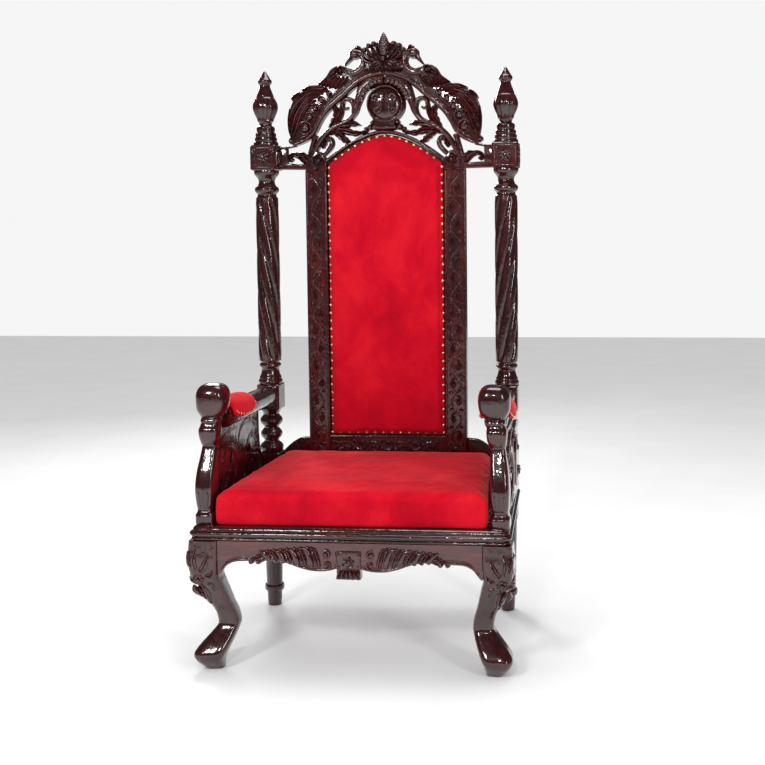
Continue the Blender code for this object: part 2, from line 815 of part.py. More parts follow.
def crest():
    stub_end = post_half_spacing - top_block_half - clearance
    room = (stub_end - frame_half_width) / crest_overhang

    def at(x, rise):
        past_frame = max(abs(x) - frame_half_width, 0.0)
        reach = min(abs(x), frame_half_width) + past_frame * room
        return (math.copysign(reach, x), frame_top + rise)

    face = crest_thickness

    half = []

    def stem(path, widths, high=face - 0.004, low=0.006, steps=6, section=band_section):
        drop = sink / 2 * len(half)
        return ribbon([at(*p) for p in path], widths, low - drop, high - drop, section, steps)

    half_top = [at(*p) for p in crest_top_edge]
    half_under = [at(*p) for p in crest_under_edge[1:]]
    right = half_top + half_under
    outline = right + [(-x, z) for x, z in reversed(right[1:-1])]
    body = prism(outline, 0.0, face)

    arch_low = arch_points(clearance)
    arch_high = arch_points(rim_width)
    rim = prism(arch_low + list(reversed(arch_high)), 0.0015, face + 0.001)

    foot = frame_top + clearance
    shoulder = [(pad_half_width, foot), (frame_half_width, foot), at(0.249, 0.030),
                at(0.240, 0.052), at(0.222, 0.066), at(0.203, 0.060), at(0.188, 0.0395),
                (pad_half_width + 0.0003, frame_top + 0.0245)]

    half.append(prism(shoulder, 0.003, face - 0.002, bevel=0.004))
    # Shell petals beside the bud
    for angle, reach in ((14, 0.062), (31, 0.072), (50, 0.077)):
        turn = math.radians(angle)
        root = (0.022 * math.sin(turn), 0.345 + 0.022 * math.cos(turn))
        tip = (reach * math.sin(turn), 0.345 + reach * math.cos(turn))
        half.append(stem([root, tip], [0.003, 0.0085, 0.010, 0.006], high=face + 0.007,
                         low=face - 0.020, section=ridge_section, steps=3))
    # Bird: neck, head, tuft and beak
    half.append(stem([(0.052, 0.318), (0.058, 0.338), (0.066, 0.355), (0.080, 0.367)],
                     [0.013, 0.010, 0.009, 0.011], high=face + 0.006, low=0.003, steps=3))
    half.append(dome(*at(0.091, 0.365), 0.016, 0.005, face + 0.008))
    half.append(stem([(0.082, 0.372), (0.083, 0.382), (0.086, 0.390)], [0.006, 0.005, 0.001],
                     high=face, low=0.006, steps=2))
    half.append(stem([(0.098, 0.360), (0.108, 0.350), (0.116, 0.336), (0.122, 0.326)],
                     [0.009, 0.0065, 0.004, 0.0035], high=face + 0.001, low=0.007, steps=3))
    # Wing feathers
    for start, middle, tip in (
            ((0.108, 0.310), (0.138, 0.314), (0.176, 0.290)),
            ((0.106, 0.288), (0.144, 0.292), (0.206, 0.266))):
        half.append(stem([start, middle, tip], [0.005, 0.010, 0.0015], high=face + 0.008,
                         low=face - 0.012, section=ridge_section, steps=3))
    # Plume feathers, from the band out to the edge
    for root, middle, tip in (
            ((0.186, 0.252), (0.206, 0.266), (0.236, 0.271)),
            ((0.212, 0.234), (0.232, 0.250), (0.266, 0.255)),
            ((0.236, 0.210), (0.256, 0.224), (0.291, 0.232)),
            ((0.256, 0.180), (0.274, 0.190), (0.306, 0.192))):
        half.append(stem([root, middle, tip], [0.003, 0.009, 0.002], high=face + 0.008,
                         low=face - 0.014, section=ridge_section, steps=2))
    for x, z, radius in berry_row:
        half.append(dome(*at(x, z), radius, face - 0.012, face + 0.010, sides=5))
    half.append(dome(*at(0.297, 0.095), 0.012, 0.004, face - 0.003, sides=5))
    # Collar over the medallion, running down into the main stem
    half.append(stem([(0.0, 0.281), (0.035, 0.276), (0.066, 0.258), (0.080, 0.226),
                      (0.090, 0.196), (0.106, 0.170), (0.128, 0.152)],
                     [0.014, 0.0145, 0.013, 0.0105, 0.0075, 0.006, 0.006],
                     high=face + 0.005, section=ridge_section, steps=6))
    # Main stem with its long leaf, and the strut up to the plume
    half.append(stem([(0.243, 0.030), (0.224, 0.062), (0.200, 0.096), (0.165, 0.135),
                      (0.121, 0.148), (0.090, 0.144), (0.062, 0.137)],
                     [0.009, 0.0085, 0.008, 0.008, 0.012, 0.011, 0.002],
                     high=face, section=ridge_section, steps=7))
    half.append(stem([(0.247, 0.012), (0.240, 0.045), (0.236, 0.080), (0.234, 0.112)],
                     [0.008, 0.007, 0.006, 0.008], high=face - 0.006, steps=3))
    # Leaf down to the rim, and the two curled leaves up to the plume
    half.append(stem([(0.160, 0.135), (0.138, 0.124), (0.118, 0.118), (0.098, 0.096)],
                     [0.005, 0.009, 0.008, 0.004], high=face - 0.004,
                     section=ridge_section, steps=4))
    half.append(stem([(0.122, 0.158), (0.128, 0.180), (0.127, 0.205), (0.116, 0.223),
                      (0.103, 0.218), (0.103, 0.205)],
                     [0.005, 0.006, 0.006, 0.008, 0.007, 0.006],
                     section=ridge_section, steps=6))
    half.append(stem([(0.163, 0.135), (0.150, 0.156), (0.147, 0.178), (0.160, 0.198)],
                     [0.006, 0.008, 0.007, 0.005],
                     section=ridge_section, steps=4))
    # Curl beside the rim
    half.append(stem([(0.193, 0.050), (0.180, 0.075), (0.183, 0.098), (0.199, 0.104)],
                     [0.008, 0.006, 0.006, 0.006], high=face - 0.006,
                     section=ridge_section, steps=4))
    # Bracket to the post: ledge, stub, strip under the plume's end, scrolled leaf
    ledge = [at(0.247, 0.004), at(0.3397, 0.006), at(0.3397, 0.031), at(0.247, 0.022)]
    stub = [at(0.311, 0.012), at(0.3395, 0.012), at(0.3395, 0.0765), at(0.311, 0.0765)]
    strip = [at(0.284, 0.075), at(0.320, 0.067), at(0.320, 0.0775), at(0.284, 0.0835)]
    half.append(prism(ledge, 0.006, face - 0.010))
    half.append(prism(stub, 0.0065, face - 0.0105))
    half.append(prism(strip, 0.007, face - 0.011))
    half.append(stem([(0.248, 0.022), (0.262, 0.047), (0.282, 0.052), (0.300, 0.040)],
                     [0.004, 0.008, 0.008, 0.007], high=face - 0.006, low=0.008,
                     section=ridge_section, steps=4))

    middle = [dome(*at(0.003, 0.206), 0.061, 0.001, face + 0.014, sides=16)]
    for path in (((-0.034, 0.222), (0.004, 0.230), (0.028, 0.200)),
                 ((0.036, 0.222), (0.000, 0.192), (-0.024, 0.180))):
        middle.append(stem(path, [0.005, 0.007, 0.005], high=face + 0.019, low=face,
                           section=ridge_section, steps=3))
    middle.append(prism([at(-0.030, 0.120), at(0.030, 0.120), at(0.036, 0.128), at(0.028, 0.160),
                         at(-0.028, 0.160), at(-0.036, 0.128)], 0.0025, face + 0.003))
    middle.append(dome(*at(0.046, 0.132), 0.013, 0.003, face))
    middle.append(dome(*at(-0.046, 0.132), 0.013, 0.003, face))
    middle.append(dome(*at(0.0, 0.345), 0.011, 0.006, face + 0.016))
    bud = [round_ring(r, frame_top + z) for r, z in
           ((0.007, 0.352), (0.014, 0.361), (0.0190, 0.383), (0.0165, 0.402), (0.0095, 0.416),
            (0.001, 0.428))]
    bud_solid = loft([[(x, z, face - 0.004 + y) for x, y, z in ring] for ring in bud])
    return [body, rim] + middle + [bud_solid] + both_sides(half)


def clear_scene():
    for old in list(bpy.data.objects):
        bpy.data.objects.remove(old)


def main():
    clear_scene()
    build_pair("rear_post", [rear_post()], post_place, wood)
    build_pair("front_leg", [front_leg()] + knee_carving(), as_drawn, wood)
    build("seat_board", [seat_board()], as_drawn, wood)
    build("seat_cushion", [seat_cushion()], as_drawn, velvet)
    build("front_apron", front_apron(), front_place, wood)
    build_pair("side_apron", [side_apron()], side_place, wood)
    build("rear_apron", [rear_apron()], back_place, wood)
    build_pair("arm_post", [arm_post()], as_drawn, wood)
    build_pair("arm_rest", [arm_rest()], as_drawn, wood)
    build_pair("arm_pad", [arm_pad()], as_drawn, velvet, [arm_rest(clearance)])
    panel, openings = arm_panel()
    build_pair("arm_panel", panel, side_place, wood, openings)
    build_pair("back_stile", back_stile(), back_place, wood)
    build("back_bottom_rail", back_bottom_rail(), back_place, wood)
    build("back_board", [back_board()], back_place, wood)
    build("back_pad", [back_pad()], back_place, velvet)
    build_pair("lower_panel", [lower_panel()], back_place, wood)
    build("crest", crest(), back_place, wood)


main()
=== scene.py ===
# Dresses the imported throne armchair: carved lacquered wood, red velvet, brass nails.
# Metres, +Z up. The front faces -Y and the origin is on the floor under the middle.

import math

import bmesh
import bpy
from mathutils.bvhtree import BVHTree
from mathutils import Matrix, Vector, noise


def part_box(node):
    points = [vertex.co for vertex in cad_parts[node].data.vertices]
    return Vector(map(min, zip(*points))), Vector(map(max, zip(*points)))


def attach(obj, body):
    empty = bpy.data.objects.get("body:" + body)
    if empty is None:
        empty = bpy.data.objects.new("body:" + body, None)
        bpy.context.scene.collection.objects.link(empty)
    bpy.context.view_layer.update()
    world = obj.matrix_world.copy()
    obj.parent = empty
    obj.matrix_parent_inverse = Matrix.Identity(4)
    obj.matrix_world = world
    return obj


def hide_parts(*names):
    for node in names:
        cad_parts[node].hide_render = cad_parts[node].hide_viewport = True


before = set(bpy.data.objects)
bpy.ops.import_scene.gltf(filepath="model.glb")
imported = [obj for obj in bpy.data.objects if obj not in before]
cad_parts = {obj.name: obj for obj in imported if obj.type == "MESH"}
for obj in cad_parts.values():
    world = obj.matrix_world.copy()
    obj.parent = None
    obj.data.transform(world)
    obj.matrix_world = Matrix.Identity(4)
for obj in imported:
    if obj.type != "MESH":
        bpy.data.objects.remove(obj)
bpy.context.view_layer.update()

# Places read from the frame
seat_low, seat_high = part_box("seat_board")
post_low, post_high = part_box("rear_post_right")
block_low, block_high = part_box("seat_cushion")
leg_low, leg_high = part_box("front_leg_right")
rest_low, rest_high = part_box("arm_rest_right")
stile_low, stile_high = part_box("back_stile_right")
apron_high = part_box("front_apron")[1]
knob_low, knob_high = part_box("arm_post_right")
panel_low, panel_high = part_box("arm_panel_right")

seat_top = seat_high.z
seat_underside = seat_low.z
post_x = (post_low.x + post_high.x) / 2
post_lean = 0.02
post_foot_y = 0.26896
frame_top = stile_high.z
frame_back_offset = 0.025
frame_thickness = 0.035
frame_half_width = stile_high.x
pad_half_width = stile_low.x
pad_foot = seat_top + 0.149
pad_arch_rise = 0.0925
pad_arch_above_frame = 0.114
arch_power = 1.7
glue_gap = 0.0003
seat_block_half = 0.034
arm_block_half = 0.036


def lean(height):
    """Depth of the posts' axis at a height."""
    return post_foot_y + post_lean * height


def back_place(across, up, out):
    """From a drawing of the back, seen from the front, to the leaning back."""
    return (across, lean(up) + frame_back_offset - out, up)


def post_place(x, y, z):
    """A post drawn round the Z axis, moved to the right-hand corner and leaned."""
    return (post_x + x, lean(z) + y, z)


def as_drawn(x, y, z):
    """A piece drawn where it stands."""
    return (x, y, z)


def side_place(across, up, out):
    """From a drawing of the right-hand side, seen from outside, to its place."""
    return (out, across, up)


def other_side(place):
    """The same place in the mirror."""
    def reflected(*corner):
        x, y, z = place(*corner)
        return (-x, y, z)
    return reflected


# Materials

class Nodes:
    """A short way to build a node tree."""

    def __init__(self, name):
        self.material = bpy.data.materials.new(name)
        self.material.use_nodes = True
        self.tree = self.material.node_tree
        self.shader = self.tree.nodes["Principled BSDF"]

    def node(self, kind, **values):
        made = self.tree.nodes.new(kind)
        for key, value in values.items():
            setattr(made, key, value)
        return made

    def join(self, out, into):
        self.tree.links.new(out, into)

    def coordinates(self, scale=(1.0, 1.0, 1.0)):
        place = self.node("ShaderNodeTexCoord")
        mapping = self.node("ShaderNodeMapping")
        mapping.inputs["Scale"].default_value = scale
        self.join(place.outputs["Object"], mapping.inputs["Vector"])
        return mapping.outputs["Vector"]

    def noise(self, scale, detail=4.0, stretch=(1.0, 1.0, 1.0), roughness=0.5, distortion=0.0):
        made = self.node("ShaderNodeTexNoise")
        made.inputs["Scale"].default_value = scale
        made.inputs["Detail"].default_value = detail
        made.inputs["Roughness"].default_value = roughness
        made.inputs["Distortion"].default_value = distortion
        self.join(self.coordinates(stretch), made.inputs["Vector"])
        return made.outputs["Fac"]

    def ramp(self, source, stops):
        made = self.node("ShaderNodeValToRGB")
        elements = made.color_ramp.elements
        while len(elements) < len(stops):
            elements.new(0.5)
        for element, (place, colour) in zip(elements, stops):
            element.position = place
            element.color = (*colour, 1.0)
        self.join(source, made.inputs["Fac"])
        return made.outputs["Color"]

    def multiply(self, a, b, factor=1.0):
        """One colour times another; the node keeps its colours at sockets 6, 7 and 2."""
        made = self.node("ShaderNodeMix", data_type="RGBA", blend_type="MULTIPLY")
        made.inputs["Factor"].default_value = factor
        self.join(a, made.inputs[6])
        self.join(b, made.inputs[7])
        return made.outputs[2]

    def bump(self, source, strength, distance, after=None):
        made = self.node("ShaderNodeBump")
        made.inputs["Strength"].default_value = strength
        made.inputs["Distance"].default_value = distance
        self.join(source, made.inputs["Height"])
        if after is not None:
            self.join(after, made.inputs["Normal"])
        return made.outputs["Normal"]

    def feed(self, socket, source):
        self.join(source, self.shader.inputs[socket])

    def set(self, **values):
        for key, value in values.items():
            self.shader.inputs[key.replace("_", " ")].default_value = value


def lacquered_wood(name, grain=(1.0, 1.0, 0.12)):
    """Dark red-brown mahogany under a thick gloss lacquer; the grain runs along Z."""
    made = Nodes(name)
    streaks = made.noise(70.0, 6.0, grain, 0.6, 0.6)
    dark, mid, warm = (0.014, 0.0014, 0.002), (0.03, 0.003, 0.0034), (0.058, 0.008, 0.007)
    colour = made.ramp(streaks, ((0.3, dark), (0.52, mid), (0.74, warm)))
    shade = made.ramp(made.noise(5.0, 2.0), ((0.3, (0.62, 0.58, 0.6)), (0.7, (1.0, 1.0, 1.0))))
    colour = made.multiply(colour, shade)
    # Painted shade: pointiness darkens the hollows and recesses of the carving. It also lightens
    # crests and edges as wear.
    geometry = made.node("ShaderNodeNewGeometry")
    edges = made.ramp(geometry.outputs["Pointiness"],
                      ((0.42, (0.35, 0.3, 0.3)), (0.5, (1.0, 1.0, 1.0)), (0.6, (2.1, 1.7, 1.5))))
    made.feed("Base Color", made.multiply(colour, edges))
    gloss = made.ramp(made.noise(24.0, 3.0), ((0.3, (0.2,) * 3), (0.7, (0.34,) * 3)))
    made.feed("Roughness", gloss)
    waves = made.bump(made.noise(46.0, 3.0), 0.42, 0.003)
    peel = made.bump(made.noise(170.0, 2.0), 0.1, 0.0006, waves)
    made.feed("Normal", peel)
    made.feed("Coat Normal", peel)
    made.set(Coat_Weight=1.0, Coat_Roughness=0.035, Coat_IOR=1.6, IOR=1.5, Specular_IOR_Level=0.22)
    return made.material


def velvet(name):
    """Short red pile, brushed into lighter and darker patches."""
    made = Nodes(name)
    patches = made.noise(5.0, 5.0, (1.0, 1.0, 0.8), 0.68, 0.35)
    deep, bright, light = (0.28, 0.0012, 0.009), (0.47, 0.002, 0.014), (0.66, 0.011, 0.02)
    colour = made.ramp(patches, ((0.26, deep), (0.5, bright), (0.76, light)))
    pile = made.noise(900.0, 2.0)
    speck = made.ramp(pile, ((0.35, (0.8, 0.75, 0.75)), (0.65, (1.12, 1.1, 1.1))))
    made.feed("Base Color", made.multiply(colour, speck, 0.6))
    folds = made.bump(made.noise(40.0, 3.0), 0.22, 0.003)
    made.feed("Normal", made.bump(pile, 0.35, 0.0008, folds))
    made.set(Roughness=0.95, IOR=1.35, Specular_IOR_Level=0.15, Sheen_Weight=0.55,
             Sheen_Roughness=0.33, Sheen_Tint=(1.0, 0.22, 0.22, 1.0))
    return made.material


def brass(name):
    """Aged brass, duller where it is tarnished."""
    made = Nodes(name)
    tarnish = made.noise(60.0, 3.0)
    colour = made.ramp(tarnish, ((0.35, (0.72, 0.5, 0.22)), (0.65, (0.98, 0.8, 0.48))))
    made.feed("Base Color", colour)
    made.feed("Roughness", made.ramp(tarnish, ((0.3, (0.42,) * 3), (0.7, (0.28,) * 3))))
    made.set(Metallic=1.0)
    return made.material


wood = lacquered_wood("mahogany_upright")
wood_across = lacquered_wood("mahogany_across", (0.12, 1.0, 1.0))
wood_deep = lacquered_wood("mahogany_front_to_back", (1.0, 0.12, 1.0))
red = velvet("red_velvet")
nail_brass = brass("aged_brass")

for name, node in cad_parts.items():
    if "cushion" in name or "pad" in name:
        finish = red
    elif "apron" in name or "rail" in name or name == "seat_board":
        finish = wood_across
    elif name.startswith("arm_rest"):
        finish = wood_deep
    else:
        finish = wood
    for place in node.material_slots:
        place.material = finish


# Shapes: every function below returns corners and faces of a closed form

def smooth(points, count):
    """Points at even steps along a smooth curve through the given points."""
    dense = []
    last = len(points) - 1
    for i in range(last):
        quad = (points[max(i - 1, 0)], points[i], points[i + 1], points[min(i + 2, last)])
        for step in range(12):
            t = step / 12
            dense.append(tuple(
                0.5 * (2 * b + (c - a) * t + (2 * a - 5 * b + 4 * c - d) * t * t
                       + (3 * b - a - 3 * c + d) * t ** 3)
                for a, b, c, d in zip(*quad)))
    dense.append(tuple(points[last]))
    walked = [0.0]
    for a, b in zip(dense, dense[1:]):
        walked.append(walked[-1] + math.dist(a, b))
    result = []
    index = 0
    for step in range(count):
        goal = walked[-1] * step / (count - 1)
        while index < len(dense) - 2 and walked[index + 1] < goal:
            index += 1
        part = (goal - walked[index]) / max(walked[index + 1] - walked[index], 1e-9)
        a, b = dense[index], dense[index + 1]
        result.append(tuple(p + (q - p) * part for p, q in zip(a, b)))
    return result


def between(values, share):
    """The value at a share of the way along a list, eased from one to the next."""
    place = min(max(share, 0.0), 1.0) * (len(values) - 1)
    index = min(int(place), len(values) - 2)
    t = place - index
    t = t * t * (3 - 2 * t)
    return values[index] + (values[index + 1] - values[index]) * t


def halfway(a, b):
    return ((a[0] + b[0]) / 2, (a[1] + b[1]) / 2)


def spokes(count, offset=0.0):
    """Cosine and sine at even steps round a circle."""
    angles = [math.tau * (i + offset) / count for i in range(count)]
    return [(math.cos(angle), math.sin(angle)) for angle in angles]


def skin(rings):
    """A closed form through rings of the same number of corners."""
    count = len(rings[0])
    corners = [corner for ring in rings for corner in ring]
    faces = []
    for level in range(len(rings) - 1):
        low = level * count
        for i in range(count):
            j = (i + 1) % count
            faces.append((low + i, low + j, low + count + j, low + count + i))
    faces.append(tuple(reversed(range(count))))
    faces.append(tuple(len(corners) - count + i for i in range(count)))
    return corners, faces


round_section = ((-1, 0), (-1, 0.45), (-0.88, 0.74), (-0.6, 0.93), (-0.2, 1.0), (0.2, 1.0),
                 (0.6, 0.93), (0.88, 0.74), (1, 0.45), (1, 0))
veined_section = ((-1, 0), (-1, 0.55), (-0.85, 0.84), (-0.5, 1.0), (-0.14, 0.9), (0, 0.72),
                  (0.14, 0.9), (0.5, 1.0), (0.85, 0.84), (1, 0.55), (1, 0))
hollow_section = ((-1, 0), (-1, 0.78), (-0.86, 1.0), (-0.66, 0.96), (-0.3, 0.74), (0, 0.66),
                  (0.3, 0.74), (0.66, 0.96), (0.86, 1.0), (1, 0.78), (1, 0))


def stroke(points, widths, low, heights, section=round_section, steps=16, lobes=0, blunt=0.5):
    """A carved band along a curve: half widths and heights run from end to end."""
    path = smooth(points, steps + 1)
    rings = []
    for i, (u, v) in enumerate(path):
        a = path[max(i - 1, 0)]
        b = path[min(i + 1, steps)]
        length = math.dist(a, b) or 1e-9
        nu, nv = -(b[1] - a[1]) / length, (b[0] - a[0]) / length
        share = i / steps
        half = between(widths, share)
        if lobes:
            half *= 0.7 + 0.38 * abs(math.sin(math.pi * lobes * share)) ** 0.6
        high = between(heights, share)
        end = min(share, 1 - share) * steps
        if end < 1:
            half *= blunt + (1 - blunt) * end
            high = low + (high - low) * (0.6 + 0.4 * end)
        rings.append([(u + nu * half * s, v + nv * half * s, low + (high - low) * h)
                      for s, h in section])
    return skin(rings)


def curl(centre, radius, start, turns, width, low, high, tighten=0.22, section=round_section):
    """A scroll that winds inwards, its band narrowing as it goes."""
    points = []
    steps = max(int(abs(turns) * 14), 8)
    for i in range(steps + 1):
        share = i / steps
        angle = math.radians(start) + math.tau * turns * share
        reach = radius * (1 - (1 - tighten) * share)
        points.append((centre[0] + reach * math.cos(angle), centre[1] + reach * math.sin(angle)))
    return stroke(points, [width, width * 0.9, width * 0.6], low, [high, high], section,
                  steps=steps * 2)


def moulding(points, width, low, high, steps, blunt=0.9):
    """A stroke of even width and height."""
    return stroke(points, [width, width], low, [high, high], steps=steps, blunt=blunt)


def edging(corners, width, low, high, steps):
    """Mouldings along the sides of a closed outline."""
    return [moulding([a, halfway(a, b), b], width, low, high, steps)
            for a, b in zip(corners, corners[1:] + corners[:1])]


def boss(u, v, radius, low, high, flat=0.5, sides=16, levels=6):
    """A round knob standing on a face."""
    rings = []
    for level in range(levels + 1):
        angle = math.pi / 2 * level / levels
        reach = radius * max(math.cos(angle) ** flat if level else 1.0, 0.02)
        height = low + (high - low) * math.sin(angle)
        rings.append([(u + reach * c, v + reach * s, height) for c, s in spokes(sides)])
    return skin(rings)


def flower(u, v, radius, low, high, petals=5, turn=0.3):
    """A carved flower: hollow petals round a small boss."""
    made = []
    for i in range(petals):
        angle = math.tau * i / petals + turn
        c, s = math.cos(angle), math.sin(angle)
        path = [(u + c * radius * r, v + s * radius * r) for r in (0.15, 0.6, 1.0)]
        wide = radius * 2.2 / petals
        made.append(stroke(path, [wide * 0.5, wide, wide * 0.8, wide * 0.3], low,
                           [high * 0.75 + low * 0.25, high, high * 0.8 + low * 0.2],
                           hollow_section, steps=8))
    made.append(boss(u, v, radius * 0.3, low, high + (high - low) * 0.25, sides=12, levels=4))
    return made


def slab(outline, low, high, rounding=0.0, levels=3):
    """An outline given thickness, its front edge rounded over."""
    rings = [[(u, v, low) for u, v in outline]]
    if rounding:
        for level in range(levels + 1):
            angle = math.pi / 2 * level / levels
            moved = inset(outline, rounding * (1 - math.cos(angle)))
            rings.append([(u, v, high - rounding + rounding * math.sin(angle))
                          for u, v in moved])
    else:
        rings.append([(u, v, high) for u, v in outline])
    return skin(rings)


def inset(outline, distance):
    """The outline with each corner moved inwards."""
    area = sum(a[0] * b[1] - b[0] * a[1] for a, b in zip(outline, outline[1:] + outline[:1]))
    turn = 1 if area > 0 else -1
    count = len(outline)
    moved = []
    for i, (u, v) in enumerate(outline):
        a = outline[i - 1]
        b = outline[(i + 1) % count]
        du, dv = b[0] - a[0], b[1] - a[1]
        length = math.hypot(du, dv) or 1.0
        moved.append((u - turn * dv / length * distance, v + turn * du / length * distance))
    return moved


def mirrored(solid):
    corners, faces = solid
    return [(-u, v, w) for u, v, w in corners], [tuple(reversed(face)) for face in faces]


def turned_about(solids, change):
    """The same solids with every corner passed through change."""
    return [([change(*corner) for corner in corners], faces) for corners, faces in solids]


def add_object(name, data):
    made = bpy.data.objects.new(name, data)
    bpy.context.scene.collection.objects.link(made)
    return made


def face_outwards(mesh):
    """Turn every face of closed forms outwards."""
    work = bmesh.new()
    work.from_mesh(mesh)
    bmesh.ops.recalc_face_normals(work, faces=work.faces)
    work.to_mesh(mesh)
    work.free()


def piece(name, solids, place, material, node=None, sharp=42):
    """One dressed piece of several overlapping forms, riding on the chair."""
    mesh = bpy.data.meshes.new(name)
    corners = []
    faces = []
    for solid_corners, solid_faces in solids:
        start = len(corners)
        corners += [place(*corner) for corner in solid_corners]
        faces += [tuple(start + i for i in face) for face in solid_faces]
    mesh.from_pydata(corners, [], faces)
    face_outwards(mesh)
    mesh.shade_smooth()
    mesh.set_sharp_from_angle(angle=math.radians(sharp))
    mesh.materials.append(material)
    made = add_object(name, mesh)
    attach(made, "root")
    if node:
        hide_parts(node)


def pair(name, solids, place, material, node, sharp):
    """The same piece on the right and, mirrored, on the left."""
    for side, put in (("right", place), ("left", other_side(place))):
        piece(f"{name}_{side}", solids, put, material, f"{node}_{side}", sharp=sharp)


# Rear posts

post_sides = 72
seat_block = (seat_underside - 0.072, seat_top + 0.092, seat_block_half)
arm_block = (rest_low.z - 0.02, rest_high.z + 0.0015, arm_block_half)
top_block = (frame_top + 0.003, frame_top + 0.0815, 0.041)
rope_low = arm_block[1] + 0.075
rope_high = top_block[0] - 0.086
rope_radius = 0.0358
groove_depth = 0.0062
urn_steps = 26

# Turned stretches, as height above the stretch's foot and radius
leg_turning = ((0.0, 0.0205), (0.004, 0.022), (0.046, 0.0245), (0.048, 0.0285), (0.054, 0.031),
               (0.064, 0.0312), (0.07, 0.0285), (0.072, 0.0255), (0.16, 0.0275),
               (0.25, 0.0295), (0.285, 0.03), (0.2995, 0.032))
baluster_turning = ((0.0, 0.033), (0.008, 0.0365), (0.018, 0.037), (0.026, 0.033), (0.032, 0.0255),
                    (0.037, 0.0235), (0.042, 0.026), (0.05, 0.0325), (0.058, 0.0345),
                    (0.066, 0.0325), (0.074, 0.026), (0.079, 0.0235), (0.084, 0.026),
                    (0.092, 0.033), (0.101, 0.0358), (0.11, 0.033), (0.118, 0.0265),
                    (0.124, 0.0255), (0.13, 0.029), (0.1365, 0.033))
foot_turning = ((0.0, 0.034), (0.003, 0.0372), (0.01, 0.0378), (0.016, 0.035), (0.022, 0.0345),
                (0.03, 0.0305), (0.042, 0.028), (0.05, 0.0285), (0.053, 0.031), (0.058, 0.0338),
                (0.063, 0.0335), (0.067, 0.03), (0.07, 0.0295), (0.075, 0.033))
collar_turning = ((0.0, 0.033), (0.006, 0.0295), (0.012, 0.03), (0.018, 0.0355),
                  (0.026, 0.0378), (0.033, 0.035), (0.038, 0.029), (0.046, 0.0255),
                  (0.053, 0.025), (0.062, 0.0285), (0.072, 0.0365), (0.08, 0.039),
                  (0.086, 0.0385))
steps_turning = ((0.0, 0.038), (0.004, 0.0385), (0.01, 0.0372), (0.0115, 0.0335),
                 (0.016, 0.0345), (0.024, 0.034), (0.0255, 0.031), (0.03, 0.0318),
                 (0.038, 0.0312), (0.0395, 0.027), (0.046, 0.028), (0.054, 0.0285),
                 (0.058, 0.0262), (0.062, 0.02), (0.067, 0.0193), (0.072, 0.0215),
                 (0.076, 0.025))
spire_turning = ((0.146, 0.0305), (0.15, 0.0275), (0.156, 0.026), (0.166, 0.0225),
                 (0.176, 0.0185), (0.184, 0.0162), (0.189, 0.0165), (0.193, 0.02),
                 (0.199, 0.0216), (0.204, 0.0205), (0.208, 0.0172), (0.216, 0.0125),
                 (0.224, 0.0075), (0.229, 0.0045), (0.2325, 0.0012))


def post_ring(height, shape):
    """A ring whose radius at each angle is given by shape."""
    ring = []
    for i in range(post_sides):
        angle = math.tau * (i + 0.5) / post_sides
        reach = shape(angle)
        ring.append((reach * math.cos(angle), reach * math.sin(angle), height))
    return ring


def turned(low, profile, steps):
    """Round rings of a stretch above a height, smoothed through its profile."""
    return [post_ring(low + z, lambda angle, r=radius: r) for z, radius in smooth(profile, steps)]


def squared(half):
    """The reach of a square with soft corners at each angle."""
    power = 26

    def shape(angle):
        c, s = abs(math.cos(angle)), abs(math.sin(angle))
        return half / (c ** power + s ** power) ** (1 / power)
    return shape


def block_rings(low, high, half):
    """A square block with chamfered ends."""
    cut = 0.003
    return [post_ring(low, squared(half - cut)), post_ring(low + cut, squared(half)),
            post_ring(high - cut, squared(half)), post_ring(high, squared(half - cut))]


def rope_rings():
    """Six round strands with narrow grooves, twisting two thirds of a turn."""
    rings = []
    levels = 110
    for level in range(levels + 1):
        share = level / levels
        height = rope_low + (rope_high - rope_low) * share
        twist = math.radians(240) * share
        fade = min(1.0, min(share, 1 - share) / 0.035)

        def shape(angle, twist=twist, fade=fade):
            wave = abs(math.sin(3.0 * (angle - twist)))
            swell = 1 - (1 - wave) ** 2.4
            return rope_radius - groove_depth * fade * (1 - swell) - 0.0016 * (1 - fade)
        rings.append(post_ring(height, shape))
    return rings


def urn_rings(low):
    """The gadrooned urn between the finial's neck and its spire."""
    rings = []
    profile = smooth(((0.076, 0.025), (0.084, 0.0268), (0.098, 0.0335), (0.112, 0.0382),
                      (0.1225, 0.039), (0.132, 0.0372), (0.14, 0.0335), (0.146, 0.0305)),
                     urn_steps)
    for i, (z, radius) in enumerate(profile):
        fade = min(1.0, min(i, urn_steps - 1 - i) / 4)

        def shape(angle, radius=radius, fade=fade):
            groove = (1 - abs(math.sin(6 * angle))) ** 2.0
            return radius - 0.0048 * fade * groove
        rings.append(post_ring(low + z, shape))
    return rings


def block_panel(low, high, half):
    """A sunk square with a carved rosette for one side of a block, drawn on the XZ plane."""
    middle = (low + high) / 2
    tall = (high - low) / 2 - 0.009
    wide = half - 0.008
    corners = [(-wide, middle - tall), (wide, middle - tall), (wide, middle + tall),
               (-wide, middle + tall)]
    made = edging(corners, 0.0022, half - 0.004, half + 0.0012, 6)
    made += flower(0.0, middle, min(wide, tall) * 0.66, half - 0.003, half + 0.0028, 8)
    for u, v in ((-1, -1), (-1, 1), (1, -1), (1, 1)):
        made.append(boss(u * wide * 0.74, middle + v * tall * 0.74, 0.0038, half - 0.003,
                         half + 0.0018, sides=10, levels=3))
    return made


